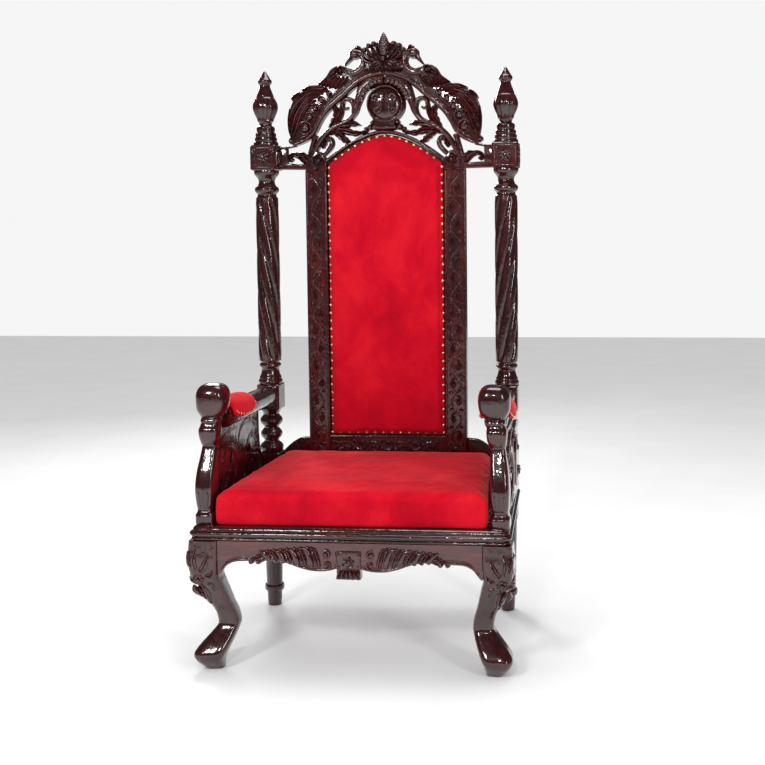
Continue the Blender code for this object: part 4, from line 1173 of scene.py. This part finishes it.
def crest():
    """The pierced board and all its carving: one half mirrored, and what stands in the middle."""
    face = crest_thickness
    half = []
    middle = []

    def band(points, widths, high, low, section=round_section, steps=20, lobes=0, taper=0.75,
             into=half):
        end = low + (high - low) * taper
        into.append(stroke(on_crest(*points), [crest_widening * width for width in widths], low,
                           [end, high, end], section, steps, lobes))

    def leaf(points, widths, high, low, steps=20, lobes=0, into=half):
        band(points, widths, high, low, veined_section, steps, lobes, into=into)

    def knob(x, z, radius, low, high, into=half, **shape):
        into.append(boss(*at_crest(x, z), radius, low, high, **shape))

    def scroll(x, z, radius, start, turns, width, low, high, into=half, **shape):
        into.append(curl(at_crest(x, z), radius, start, turns, width, low, high, **shape))

    # Main arch of the crest, and its smooth lower lip
    right = on_crest(*crest_top_edge, *crest_under_edge)
    body = slab(right + [(-x, z) for x, z in reversed(right[1:-1])], 0.001, face - 0.003, 0.003)
    lip = ((0.0, 0.304), (0.045, 0.2955), (0.08, 0.28), (0.108, 0.259), (0.128, 0.24),
           (0.16, 0.214), (0.19, 0.185), (0.2115, 0.152), (0.228, 0.121), (0.249, 0.101),
           (0.275, 0.0885), (0.292, 0.0845))
    band(lip, [0.0075, 0.0085, 0.0085, 0.007, 0.0045], face + 0.002, 0.0, steps=60, taper=0.98)
    band([(x - 0.001, z + 0.0105) for x, z in lip[2:-1]], [0.0016, 0.002, 0.0016], face + 0.0035,
         face - 0.006, steps=50, taper=0.9)
    # Shell beside the bud
    for points in (((0.008, 0.343), (0.022, 0.366), (0.0315, 0.392)),
                   ((0.014, 0.34), (0.036, 0.362), (0.048, 0.386)),
                   ((0.02, 0.336), (0.046, 0.354), (0.0605, 0.3735)),
                   ((0.024, 0.331), (0.048, 0.343), (0.066, 0.3585))):
        band(points, [0.003, 0.0062, 0.0092, 0.008], face + 0.008, face - 0.024,
             hollow_section, steps=18, taper=0.85)
        knob(*points[-1], 0.0085, face - 0.024, face + 0.0085)
    leaf([(0.005, 0.336), (0.024, 0.33), (0.04, 0.318)], [0.003, 0.0085, 0.002],
         face + 0.009, face - 0.01, lobes=3)
    leaf([(0.004, 0.33), (0.014, 0.318), (0.02, 0.306)], [0.003, 0.0065, 0.001],
         face + 0.009, face - 0.01, lobes=2)
    leaf([(0.01, 0.342), (0.034, 0.337), (0.055, 0.334)], [0.003, 0.006, 0.002],
         face + 0.006, face - 0.01)
    half.append(slab(on_crest((0.0, 0.3), (0.06, 0.3), (0.068, 0.322), (0.067, 0.352),
                              (0.061, 0.369), (0.049, 0.386), (0.031, 0.394), (0.0, 0.398)),
                     0.006, face - 0.003, 0.003))
    # Bird: neck round its loop, head, eye, tuft, beak and the beads along its neck
    band([(0.12, 0.3085), (0.098, 0.302), (0.0785, 0.31), (0.0665, 0.327), (0.066, 0.347),
          (0.075, 0.362), (0.09, 0.366)],
         [0.01, 0.0105, 0.0105, 0.009, 0.008, 0.0085, 0.01], face + 0.006, 0.003, steps=40,
         taper=0.92)
    knob(0.093, 0.362, 0.0172, 0.004, face + 0.0085, sides=24, levels=8)
    knob(0.0955, 0.3655, 0.0034, face, face + 0.0105, sides=12, levels=4)
    leaf([(0.078, 0.37), (0.08, 0.381), (0.0865, 0.3885)], [0.006, 0.0048, 0.001], face, 0.006,
         12)
    band([(0.088, 0.374), (0.09, 0.38), (0.0945, 0.3835)], [0.005, 0.0034, 0.001], face, 0.006,
         steps=10)
    band([(0.099, 0.3565), (0.109, 0.3445), (0.118, 0.334), (0.1255, 0.3265)],
         [0.0088, 0.0055, 0.0035, 0.002], face + 0.001, 0.006, steps=18)
    for i in range(9):
        share = i / 8
        x = 0.104 - 0.04 * math.sin(math.pi * share * 0.62)
        knob(x - 0.002, 0.303 + 0.052 * share, 0.0038, face - 0.002, face + 0.0072, sides=8,
             levels=3)
    # Wing: a scroll at the shoulder and six long feathers
    scroll(0.1365, 0.3085, 0.0135, 150, -1.3, 0.0042, face - 0.008, face + 0.0085,
           section=veined_section)
    knob(0.1365, 0.3085, 0.006, face - 0.008, face + 0.0105)
    for points, wide in (
            (((0.144, 0.3225), (0.163, 0.31), (0.1795, 0.286), (0.209, 0.2705)), 0.005),
            (((0.148, 0.312), (0.162, 0.299), (0.178, 0.28), (0.205, 0.268)), 0.0046),
            (((0.146, 0.3), (0.158, 0.29), (0.175, 0.2745), (0.198, 0.264)), 0.0044),
            (((0.137, 0.2925), (0.15, 0.283), (0.167, 0.269), (0.188, 0.261)), 0.0042),
            (((0.124, 0.292), (0.138, 0.279), (0.155, 0.266), (0.176, 0.256)), 0.0046),
            (((0.112, 0.294), (0.122, 0.279), (0.138, 0.264), (0.158, 0.254)), 0.0046)):
        leaf(points, [wide * 0.7, wide, wide, wide * 0.35], face + 0.0075, face - 0.01, 24)
    # Plume: long feathers that sweep over the berries and down to the curled tail
    for points, wide in (
            (((0.176, 0.253), (0.204, 0.259), (0.234, 0.2595), (0.2615, 0.2535)), 0.0052),
            (((0.184, 0.247), (0.222, 0.2505), (0.26, 0.2385), (0.2955, 0.224)), 0.0056),
            (((0.19, 0.241), (0.232, 0.2395), (0.268, 0.215), (0.293, 0.178), (0.2985, 0.14)),
             0.0062),
            (((0.2, 0.233), (0.236, 0.225), (0.264, 0.196), (0.283, 0.158), (0.2925, 0.118)),
             0.0062),
            (((0.214, 0.221), (0.24, 0.206), (0.26, 0.177), (0.274, 0.142), (0.286, 0.104)),
             0.0058),
            (((0.3, 0.196), (0.3035, 0.165), (0.302, 0.128), (0.296, 0.098)), 0.003),
            (((0.268, 0.246), (0.282, 0.237), (0.2955, 0.224)), 0.003)):
        leaf(points, [wide * 0.6, wide, wide, wide * 0.4], face + 0.008, face - 0.012, 34)
    for x, z, radius in berry_row:
        knob(x, z, radius, face - 0.012, face + 0.0095)
        scroll(x, z, radius * 1.35, 30, 0.8, radius * 0.26, face - 0.01, face + 0.0065,
               tighten=0.9)
    knob(0.3, 0.095, 0.0098, 0.004, face - 0.001)
    scroll(0.296, 0.093, 0.011, 100, -0.9, 0.004, 0.004, face - 0.002)
    # Crescent collar over the medallion, beaded on its upper half, running into the stem
    band([(0.0, 0.283), (0.037, 0.277), (0.067, 0.257), (0.081, 0.227), (0.0885, 0.203),
          (0.0965, 0.18), (0.112, 0.16), (0.134, 0.148), (0.16, 0.1375), (0.186, 0.118),
          (0.2085, 0.091), (0.226, 0.061), (0.242, 0.028)],
         [0.015, 0.016, 0.015, 0.0115, 0.0085, 0.007, 0.0066, 0.0068, 0.007, 0.0072, 0.0072,
          0.0076], face + 0.001, 0.002, steps=84, taper=0.97)
    band([(0.0, 0.2885), (0.038, 0.282), (0.071, 0.26), (0.0885, 0.228), (0.095, 0.203),
          (0.1015, 0.182)], [0.0018, 0.0022, 0.0014], face + 0.003, face - 0.004, steps=36,
         taper=0.95)
    for i in range(7):
        angle = math.radians(4 + 11.0 * i)
        outer_angle = angle + 0.16
        a = (medal_x + 0.064 * math.sin(angle), medal_z + 0.064 * math.cos(angle))
        b = (medal_x + 0.08 * math.sin(outer_angle), medal_z + 0.079 * math.cos(outer_angle))
        band([a, halfway(a, b), b], [0.0044, 0.0068, 0.0044], face + 0.009, face - 0.006,
             steps=10, taper=0.8)
    # Volute between collar and plume, the strut leaf, and the lobed leaf outside it
    band([(0.112, 0.16), (0.101, 0.178), (0.0965, 0.198), (0.104, 0.2165), (0.12, 0.2235),
          (0.133, 0.215), (0.133, 0.2), (0.1235, 0.192), (0.116, 0.199)],
         [0.0055, 0.0062, 0.007, 0.0072, 0.0066, 0.0056, 0.0046, 0.0036, 0.003], face + 0.001,
         0.004, steps=50)
    leaf([(0.133, 0.226), (0.1355, 0.205), (0.14, 0.18), (0.15, 0.158),
          (0.168, 0.136)], [0.0055, 0.006, 0.0068, 0.0066, 0.005], face - 0.002, 0.004, 30)
    leaf([(0.165, 0.201), (0.156, 0.19), (0.1545, 0.172), (0.164, 0.152),
          (0.177, 0.13)], [0.006, 0.0085, 0.009, 0.0075, 0.005], face - 0.001, 0.004, 34, 4)
    # Long leaves reaching in towards the medallion's foot, and the leaf down to the rim
    leaf([(0.188, 0.117), (0.162, 0.137), (0.132, 0.145), (0.104, 0.147),
          (0.0755, 0.141)], [0.005, 0.0085, 0.011, 0.009, 0.0015], face + 0.001, 0.004, 36, 4)
    leaf([(0.182, 0.114), (0.153, 0.125), (0.125, 0.124), (0.098, 0.1165),
          (0.07, 0.119), (0.052, 0.127)], [0.004, 0.0075, 0.009, 0.0082, 0.006, 0.004],
         face - 0.001, 0.004, 36, 5)
    leaf([(0.164, 0.117), (0.146, 0.112), (0.132, 0.099), (0.118, 0.0905),
          (0.102, 0.086)], [0.004, 0.0085, 0.009, 0.0065, 0.003], face - 0.002, 0.004, 30, 4)
    # Twin stem down the outside, and the curled leaf beside the rim
    band([(0.222, 0.113), (0.231, 0.086), (0.24, 0.056), (0.248, 0.018)],
         [0.008, 0.0058, 0.0056, 0.007], face - 0.004, 0.004, steps=30, taper=0.95)
    band([(0.201, 0.048), (0.186, 0.06), (0.173, 0.076), (0.17, 0.093),
          (0.179, 0.104), (0.188, 0.098), (0.184, 0.09)],
         [0.006, 0.006, 0.0062, 0.0062, 0.0054, 0.0042, 0.003], face - 0.003, 0.004, steps=36)
    leaf([(0.202, 0.07), (0.195, 0.086), (0.199, 0.101)], [0.004, 0.007, 0.002],
         face - 0.004, 0.006, 16, 3)
    knob(0.179, 0.096, 0.006, 0.004, face)
    # Shoulder over the stile: a rounded block with a scroll
    shoulder = on_crest((pad_half_width, glue_gap), (frame_half_width, glue_gap), (0.251, 0.03),
                        (0.243, 0.05), (0.226, 0.064), (0.205, 0.06), (0.19, 0.042),
                        (pad_half_width, 0.0245))
    half.append(slab(shoulder, 0.003, face - 0.003, 0.004))
    scroll(0.211, 0.033, 0.0175, 110, -1.5, 0.0042, face - 0.01, face + 0.004,
           section=veined_section)
    knob(0.211, 0.033, 0.0065, face - 0.01, face + 0.006)
    leaf([(0.203, 0.008), (0.223, 0.01), (0.238, 0.024), (0.24, 0.042)],
         [0.003, 0.0065, 0.006, 0.002], face + 0.003, face - 0.012, 20, 3)
    leaf([(0.193, 0.015), (0.196, 0.03), (0.201, 0.043)], [0.002, 0.005, 0.002],
         face + 0.002, face - 0.012, 14)
    # Bracket to the post: ledge, stub, strip, leaf and scroll
    half.append(slab(on_crest((0.246, 0.004), (0.3394, 0.006), (0.3394, 0.0275),
                              (0.3, 0.0245), (0.246, 0.0215)),
                     0.004, face - 0.004, 0.0045, levels=5))
    half.append(slab(on_crest((0.3125, 0.01), (0.3394, 0.01), (0.3394, 0.0765),
                              (0.3125, 0.0765)), 0.006, face - 0.009, 0.0025))
    half.append(slab(on_crest((0.284, 0.0765), (0.32, 0.0695), (0.32, 0.077),
                              (0.284, 0.0835)), 0.007, face - 0.011, 0.002))
    leaf([(0.245, 0.017), (0.252, 0.04), (0.264, 0.053), (0.277, 0.059)],
         [0.0045, 0.0078, 0.0065, 0.0012], face - 0.004, 0.008, 20, 3)
    leaf([(0.256, 0.023), (0.272, 0.044), (0.292, 0.052), (0.308, 0.044),
          (0.306, 0.033), (0.297, 0.032)], [0.004, 0.007, 0.0075, 0.0062, 0.0045, 0.003],
         face - 0.003, 0.008, 30)
    knob(0.299, 0.036, 0.006, 0.008, face - 0.001)

    # Medallion: disc, rim and generic curls
    knob(medal_x, medal_z, 0.0625, 0.001, face + 0.0085, middle, flat=0.62, sides=64, levels=12)
    ring = [(medal_x + 0.0545 * math.cos(math.tau * i / 48),
             medal_z + 0.0545 * math.sin(math.tau * i / 48)) for i in range(49)]
    band(ring, [0.0024, 0.0024], face + 0.0072, face - 0.002, steps=96, taper=1.0, into=middle)
    for x, z, start, turns, radius in ((-0.026, 0.222, 0, 1.2, 0.0135),
                                       (0.03, 0.222, 180, -1.2, 0.0135),
                                       (-0.02, 0.187, 60, -1.2, 0.012),
                                       (0.027, 0.187, 120, 1.2, 0.012)):
        scroll(x, z, radius, start, turns, 0.0046, face + 0.002, face + 0.0145, middle)
        knob(x, z, 0.004, face + 0.004, face + 0.0165, middle, sides=12, levels=4)
    leaf([(0.003, 0.176), (0.001, 0.205), (0.003, 0.238)], [0.0015, 0.0042, 0.0015],
         face + 0.016, face + 0.004, 18, into=middle)
    # Pedestal: neck, glossy plate, and its small volutes
    middle.append(slab(on_crest((-0.038, 0.131), (0.038, 0.131), (0.031, 0.146), (0.044, 0.168),
                                (-0.04, 0.168), (-0.031, 0.146)), 0.0035, face, 0.003))
    band([(-0.04, 0.1345), (0.0, 0.133), (0.04, 0.1345)], [0.007, 0.007], face + 0.004,
         0.003, steps=24, taper=1.0, into=middle)
    band([(-0.036, 0.145), (0.0, 0.144), (0.036, 0.145)], [0.0034, 0.0034], face + 0.001,
         0.003, taper=1.0, into=middle)
    for side in (-1, 1):
        knob(0.047 * side, 0.135, 0.0105, 0.003, face + 0.001, middle)
        knob(0.04 * side, 0.15, 0.008, 0.004, face - 0.002, middle)
        knob(0.061 * side, 0.13, 0.007, 0.004, face - 0.004, middle)
    knob(0.0, 0.3435, 0.0095, face - 0.02, face + 0.015, middle)
    leaf([(0.0, 0.337), (0.0, 0.323), (0.0, 0.304)], [0.0045, 0.009, 0.001], face + 0.0095,
         face - 0.012, 18, into=middle)
    middle.append(bud())
    # Rim round the pad's arch
    middle.append(moulding(arch_line(0.0068, 60), 0.0064, 0.0015, face + 0.0015, 110, 1.0))
    return [body] + middle + half + [mirrored(solid) for solid in half]


piece("crest_carved", crest(), back_place, wood_across, "crest", sharp=50)


# Soft goods

def bake(made):
    """Apply the modifiers of an object to its mesh."""
    ready = made.evaluated_get(bpy.context.evaluated_depsgraph_get())
    mesh = bpy.data.meshes.new_from_object(ready)
    made.modifiers.clear()
    made.data = mesh


cloth_frames = 20
cloth_pressure = 4.0


def move_corners(mesh, corners):
    """Put every corner of a mesh in its new place at once."""
    mesh.vertices.foreach_set("co", [value for corner in corners for value in corner])
    mesh.update()


def corners_and_normals(mesh):
    return [(vertex.co.copy(), vertex.normal.copy()) for vertex in mesh.vertices]


def swollen(name, solid, voxel, cap, hold, place, node, wrinkle):
    """A padded form: remeshed, swelled by cloth under pressure, then held where it rests.

    hold moves a drawn point back to where its support or its nails keep it.
    """
    mesh = bpy.data.meshes.new(name)
    mesh.from_pydata(solid[0], [], solid[1])
    face_outwards(mesh)
    made = add_object(name, mesh)
    remesh = made.modifiers.new("remesh", "REMESH")
    remesh.mode = "VOXEL"
    remesh.voxel_size = voxel
    bake(made)
    rest = corners_and_normals(made.data)
    cloth = made.modifiers.new("cloth", "CLOTH")
    cloth.settings.use_pressure = True
    cloth.settings.uniform_pressure_force = cloth_pressure
    cloth.settings.effector_weights.gravity = 0.0
    cloth.settings.quality = 3
    for number in range(1, cloth_frames + 1):
        bpy.context.scene.frame_set(number)
    bake(made)
    bpy.context.scene.frame_set(1)
    # The boxing and the nails hold the edges, so only the swelling outwards is kept
    swelled = []
    for vertex, (start, normal) in zip(made.data.vertices, rest):
        swelling = min(max((vertex.co - start).dot(normal), 0.0), cap)
        swelled.append(start + normal * swelling)
    move_corners(made.data, swelled)
    even = made.modifiers.new("even", "SMOOTH")
    even.iterations = 3
    finer = made.modifiers.new("finer", "SUBSURF")
    finer.levels = 1
    bake(made)
    wrinkled = []
    for spot, normal in corners_and_normals(made.data):
        ripple = noise.noise(spot * 14.0) + 0.5 * noise.noise(spot * 33.0)
        wrinkled.append(place(*hold(*(spot + normal * (wrinkle * ripple)))))
    move_corners(made.data, wrinkled)
    face_outwards(made.data)
    made.data.shade_smooth()
    made.data.materials.clear()
    made.data.materials.append(red)
    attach(made, "root")
    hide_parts(node)
    return made


def dimple(distance, reach, depth):
    """How far a nail or a seam pulls the fabric in at some distance."""
    return depth * math.exp(-(distance / reach) ** 2)


# Seat cushion: a boxed block of foam, wider in front

cushion_low = seat_top + 2 * glue_gap
cushion_high = block_high.z
cushion_front = block_low.y
cushion_back = block_high.y
cushion_half_front = block_high.x
cushion_half_rear = post_x - 0.0445
cushion_rear_rise = 0.011
cushion_corner = 0.014


def cushion_share(y):
    """How far back a point is, from 0 at the cushion's front to 1."""
    return (y - cushion_front) / (cushion_back - cushion_front)


def cushion_half(y):
    return cushion_half_front + (cushion_half_rear - cushion_half_front) * cushion_share(y)


def seat_cushion():
    """The boxed block, a little smaller than its solid, with a crowned top."""
    shrink = 0.0075
    side_shrink = 0.002
    rings = []
    for height, pull in ((0.0, 0.006), (0.008, 0.0), (0.45, -0.001), (0.93, 0.001), (1.0, 0.008),
                         (1.06, 0.055), (1.12, 0.12)):
        z = cushion_low + (cushion_high - shrink - cushion_low) * height
        front, back = cushion_front + side_shrink + pull, cushion_back - side_shrink - pull
        wide = cushion_half(front) - side_shrink - pull - cushion_corner
        narrow = cushion_half(back) - side_shrink - pull - cushion_corner
        back -= cushion_corner
        front += cushion_corner
        ring = []
        for cx, cy, start in ((narrow, back, 0), (-narrow, back, 90), (-wide, front, 180),
                              (wide, front, 270)):
            for i in range(6):
                angle = math.radians(start + 18 * i)
                y = cy + cushion_corner * math.sin(angle)
                ring.append((cx + cushion_corner * math.cos(angle), y,
                             z + cushion_rear_rise * cushion_share(y) * min(height, 1.0)))
        rings.append(ring)
    return skin(rings)


def hold_cushion(x, y, z):
    """The boxing stays above the board and within its sides, and the seam draws the top in."""
    y = min(max(y, cushion_front - 0.003), cushion_back - 0.0005)
    limit = cushion_half(y) + 0.002
    x = min(max(x, -limit), limit)
    # The seam where the top meets the boxing
    seam = math.hypot(z - (cushion_high - 0.01), min(limit - abs(x), y - cushion_front) * 0.6)
    if z > cushion_high - 0.02:
        z -= dimple(seam, 0.004, 0.0012)
    return x, y, max(z, cushion_low)


swollen("cushion_seat", seat_cushion(), 0.007, 0.01, hold_cushion, as_drawn, "seat_cushion",
        0.0018)


# Back pad: nailed round its edge

nail_radius = 0.005
nail_inset = 0.0075
pad_floor = 0.0105
pad_edge_height = frame_thickness - 0.0015
pad_crown = 0.0105


def pad_outline():
    edge = pad_half_width
    arch = sorted((x, z) for x, z in arch_line(0.0) if abs(x) < edge - 0.002)
    return ([(-edge, pad_foot), (-edge, frame_top)] + arch
            + [(edge, frame_top), (edge, pad_foot)])


def nail_places():
    """Where the back pad's nails stand: both sides, the foot, and along the arch."""
    places = []
    move = nail_inset
    edge = pad_half_width - move
    foot = pad_foot + move
    side_top = frame_top + 0.01
    count = 33
    for i in range(count + 1):
        z = foot + (side_top - foot) * i / count
        places += [(edge, z), (-edge, z)]
    row = 13
    for i in range(1, row):
        places.append((-edge + 2 * edge * i / row, foot))
    arch = sorted((x, z) for x, z in arch_line(-move, 200) if abs(x) < edge - 0.004)
    length = [0.0]
    for a, b in zip(arch, arch[1:]):
        length.append(length[-1] + math.dist(a, b))
    steps = 16
    for k in range(1, steps):
        goal = length[-1] * k / steps
        index = max(i for i, value in enumerate(length) if value <= goal)
        places.append(arch[index])
    return places


back_nails = nail_places()


def back_pad_form():
    rings = []
    for move, out in ((0.0045, pad_floor), (0.0045, pad_edge_height - 0.006),
                      (0.01, frame_thickness - 0.002), (0.026, frame_thickness + 0.003),
                      (0.075, frame_thickness + pad_crown - 0.006)):
        rings.append([(x, z, out) for x, z in inset(pad_outline(), move)])
    return skin(rings)


def hold_back_pad(x, z, out):
    """The pad stays within the frame and the arch, and its nails draw it in."""
    edge = pad_half_width - 0.0006
    x = min(max(x, -edge), edge)
    z = max(z, pad_foot + 0.0006)
    if z > frame_top:
        z = min(z, arch_height(x) - 0.0012)
    out = max(out, pad_floor)
    if out > frame_thickness - 0.006:
        pull = sum(dimple(math.hypot(x - u, z - v), 0.0085, 0.003) for u, v in back_nails
                   if abs(x - u) < 0.03 and abs(z - v) < 0.03)
        out -= min(pull, 0.0042)
    return x, z, out


back_pad = swollen("pad_back", back_pad_form(), 0.006, 0.009, hold_back_pad, back_place,
                   "back_pad", 0.001)


def dome(centre, out, radius):
    """A nail's domed head, standing on a point and facing a direction."""
    out = out.normalized()
    across = out.cross(Vector((0.0, 0.0, 1.0)))
    if across.length < 0.1:
        across = out.cross(Vector((1.0, 0.0, 0.0)))
    across.normalize()
    up = out.cross(across)
    rings = []
    for height, size in ((-0.25, 0.96), (0.0, 1.0), (0.28, 0.9), (0.5, 0.62), (0.58, 0.25)):
        rings.append([tuple(centre + out * (radius * height) + across * (radius * size * c)
                            + up * (radius * size * s)) for c, s in spokes(12)])
    return skin(rings)


def nails_on(name, cushion, starts):
    """Nail heads where rays from outside meet a cushion."""
    tree = BVHTree.FromPolygons([vertex.co for vertex in cushion.data.vertices],
                                [tuple(face.vertices) for face in cushion.data.polygons])
    heads = []
    for start, way, radius in starts:
        spot, normal = tree.ray_cast(Vector(start), Vector(way))[:2]
        if spot is not None:
            heads.append(dome(spot, normal - Vector(way), radius))
    piece(name, heads, as_drawn, nail_brass, sharp=60)


back_out = Vector(back_place(0.0, 1.0, 1.0)) - Vector(back_place(0.0, 1.0, 0.0))
back_out.normalize()
nails_on("nails_back", back_pad,
         [(Vector(back_place(x, z, frame_thickness)) + back_out * 0.1, -back_out, nail_radius)
          for x, z in back_nails])


# Arm pads: saddles nailed along their lower edge

saddle_half_length = 0.0925
saddle_middle_y = knob_back + 0.012 + saddle_half_length
beam_middle = (rest_low.z + rest_high.z) / 2
beam_half_width = 0.0335
beam_half_height = 0.0315


def saddle_centre(y):
    """Where the beam's middle runs across, at a depth."""
    share = (y - knob_back) / (lean(rest_low.z) - arm_block_half - knob_back)
    return arm_x + (post_x - arm_x) * share


def saddle_ring(y, reach, grow, steps=28):
    """An arch over the beam: outer face, then back along the beam."""
    middle = saddle_centre(y)
    outer = []
    inner = []
    for i in range(steps + 1):
        angle = -reach + 2 * reach * i / steps
        across, up = math.sin(angle), math.cos(angle)
        bulge = (abs(across) ** 2.5 + abs(up) ** 2.5) ** (-1 / 2.5)
        u, v = across * bulge, up * bulge
        outer.append((middle + u * (beam_half_width + 0.003 + 0.01 * grow), y,
                      beam_middle + v * (beam_half_height + 0.003 + 0.011 * grow
                                         + 0.004 * grow * max(up, 0.0))))
        inner.append((middle + u * (beam_half_width + 0.0006), y,
                      beam_middle + v * (beam_half_height + 0.0006)))
    return outer + list(reversed(inner))


def saddle_reach(angle):
    """How far the saddle laps over the beam on each side, as an angle from the top."""
    return math.radians(58 + 44 * math.sin(angle) ** 0.6)


def saddle():
    rings = []
    for i in range(25):
        angle = math.pi * (i + 0.35) / 24.7
        rings.append(saddle_ring(saddle_middle_y - saddle_half_length * math.cos(angle),
                                 saddle_reach(angle), math.sin(angle) ** 0.5))
    return skin(rings)


def hold_saddle(x, y, z):
    """The fabric lies on the beam and never goes into it."""
    u = (x - saddle_centre(y)) / beam_half_width
    v = (z - beam_middle) / beam_half_height
    reach = (abs(u) ** 2.8 + abs(v) ** 2.8) ** (1 / 2.8)
    if 1e-6 < reach < 1.008:
        x = saddle_centre(y) + u / reach * 1.008 * beam_half_width
        z = beam_middle + v / reach * 1.008 * beam_half_height
    return x, max(y, knob_back + 0.0008), z


def saddle_nails(side):
    """Rays towards the beam where the nails of one saddle stand."""
    starts = []
    count = 11
    for i in range(count):
        share = (i + 0.5) / count
        angle = math.pi * (0.05 + 0.9 * share)
        y = saddle_middle_y - saddle_half_length * 0.93 * math.cos(angle)
        reach = saddle_reach(angle) - 0.17
        for way in (-1, 1):
            direction = Vector((way * math.sin(reach), 0.0, math.cos(reach)))
            middle = Vector((saddle_centre(y), y, beam_middle))
            start = middle + direction * 0.12
            starts.append(((start.x * side, start.y, start.z),
                           (-direction.x * side, 0.0, -direction.z), 0.0034))
    return starts


for side, word, put in ((1, "right", as_drawn), (-1, "left", other_side(as_drawn))):
    arm_pad = swollen(f"pad_arm_{word}", saddle(), 0.005, 0.005, hold_saddle, put,
                      f"arm_pad_{word}", 0.001)
    nails_on(f"nails_arm_{word}", arm_pad, saddle_nails(side))


# Camera, floor and light

def make_camera():
    """The camera solved from the photo."""
    data = bpy.data.cameras.new("camera")
    camera = add_object("camera", data)
    bpy.context.scene.camera = camera
    yaw, pitch, roll = 0.0921, 0.0967, -0.0067
    forward = Vector((-math.sin(yaw) * math.cos(pitch), math.cos(yaw) * math.cos(pitch),
                      -math.sin(pitch)))
    right = Vector((math.cos(yaw), math.sin(yaw), 0.0))
    up = right.cross(forward)
    turned_right = math.cos(roll) * right + math.sin(roll) * up
    turned_up = -math.sin(roll) * right + math.cos(roll) * up
    placed = Matrix((turned_right, turned_up, -forward)).transposed().to_4x4()
    placed.translation = Vector((0.7075, -3.4132, 1.2444))
    camera.matrix_world = placed
    data.sensor_width = 36.0
    data.lens = 55.83
    data.shift_x = -0.1561
    data.shift_y = -0.0637


def make_floor():
    mesh = bpy.data.meshes.new("floor")
    reach = 9.0
    mesh.from_pydata([(-reach, -reach, 0), (reach, -reach, 0), (reach, reach, 0),
                      (-reach, reach, 0)], [], [(0, 1, 2, 3)])
    floor = add_object("floor", mesh)
    made = Nodes("pale_floor")
    tone = made.ramp(made.noise(3.0, 2.0), ((0.3, (0.86,) * 3), (0.7, (0.89,) * 3)))
    made.feed("Base Color", tone)
    made.set(Roughness=0.7)
    mesh.materials.append(made.material)


def make_lamp(name, place, target, size, power, tall=None):
    data = bpy.data.lights.new(name, "AREA")
    data.shape = "RECTANGLE"
    data.size = size
    data.size_y = tall or size
    data.energy = power
    lamp = add_object(name, data)
    lamp.location = place
    lamp.rotation_mode = "QUATERNION"
    lamp.rotation_quaternion = (Vector(target) - Vector(place)).to_track_quat("-Z", "Y")


def make_light():
    world = bpy.data.worlds.new("studio")
    world.use_nodes = True
    tree = world.node_tree
    background = tree.nodes["Background"]
    background.inputs["Color"].default_value = (1.0, 1.0, 1.0, 1.0)
    # A pale backdrop to look at, a dimmer room for the lacquer to mirror
    path = tree.nodes.new("ShaderNodeLightPath")
    mirrored_room = tree.nodes.new("ShaderNodeMapRange")
    mirrored_room.inputs["To Min"].default_value = 0.72
    mirrored_room.inputs["To Max"].default_value = 0.07
    tree.links.new(path.outputs["Is Glossy Ray"], mirrored_room.inputs["Value"])
    seen = tree.nodes.new("ShaderNodeMapRange")
    seen.inputs["To Max"].default_value = 0.92
    tree.links.new(path.outputs["Is Camera Ray"], seen.inputs["Value"])
    tree.links.new(mirrored_room.outputs["Result"], seen.inputs["To Min"])
    tree.links.new(seen.outputs["Result"], background.inputs["Strength"])
    bpy.context.scene.world = world
    make_lamp("key", (-1.5, -3.4, 3.0), (0.0, 0.0, 0.8), 0.6, 60.0, 1.0)
    make_lamp("fill", (2.6, -2.8, 1.9), (0.0, 0.0, 0.8), 0.4, 34.0, 1.4)
    make_lamp("spark", (0.2, -3.4, 2.7), (0.0, 0.0, 0.9), 0.22, 26.0)
    make_lamp("top", (0.2, 0.4, 3.6), (0.0, 0.0, 0.6), 1.6, 40.0)
    make_lamp("back", (-1.4, 3.0, 2.6), (0.0, 0.0, 0.9), 0.8, 45.0, 1.2)
    bpy.context.scene.view_settings.view_transform = "Standard"


make_camera()
make_floor()
make_light()
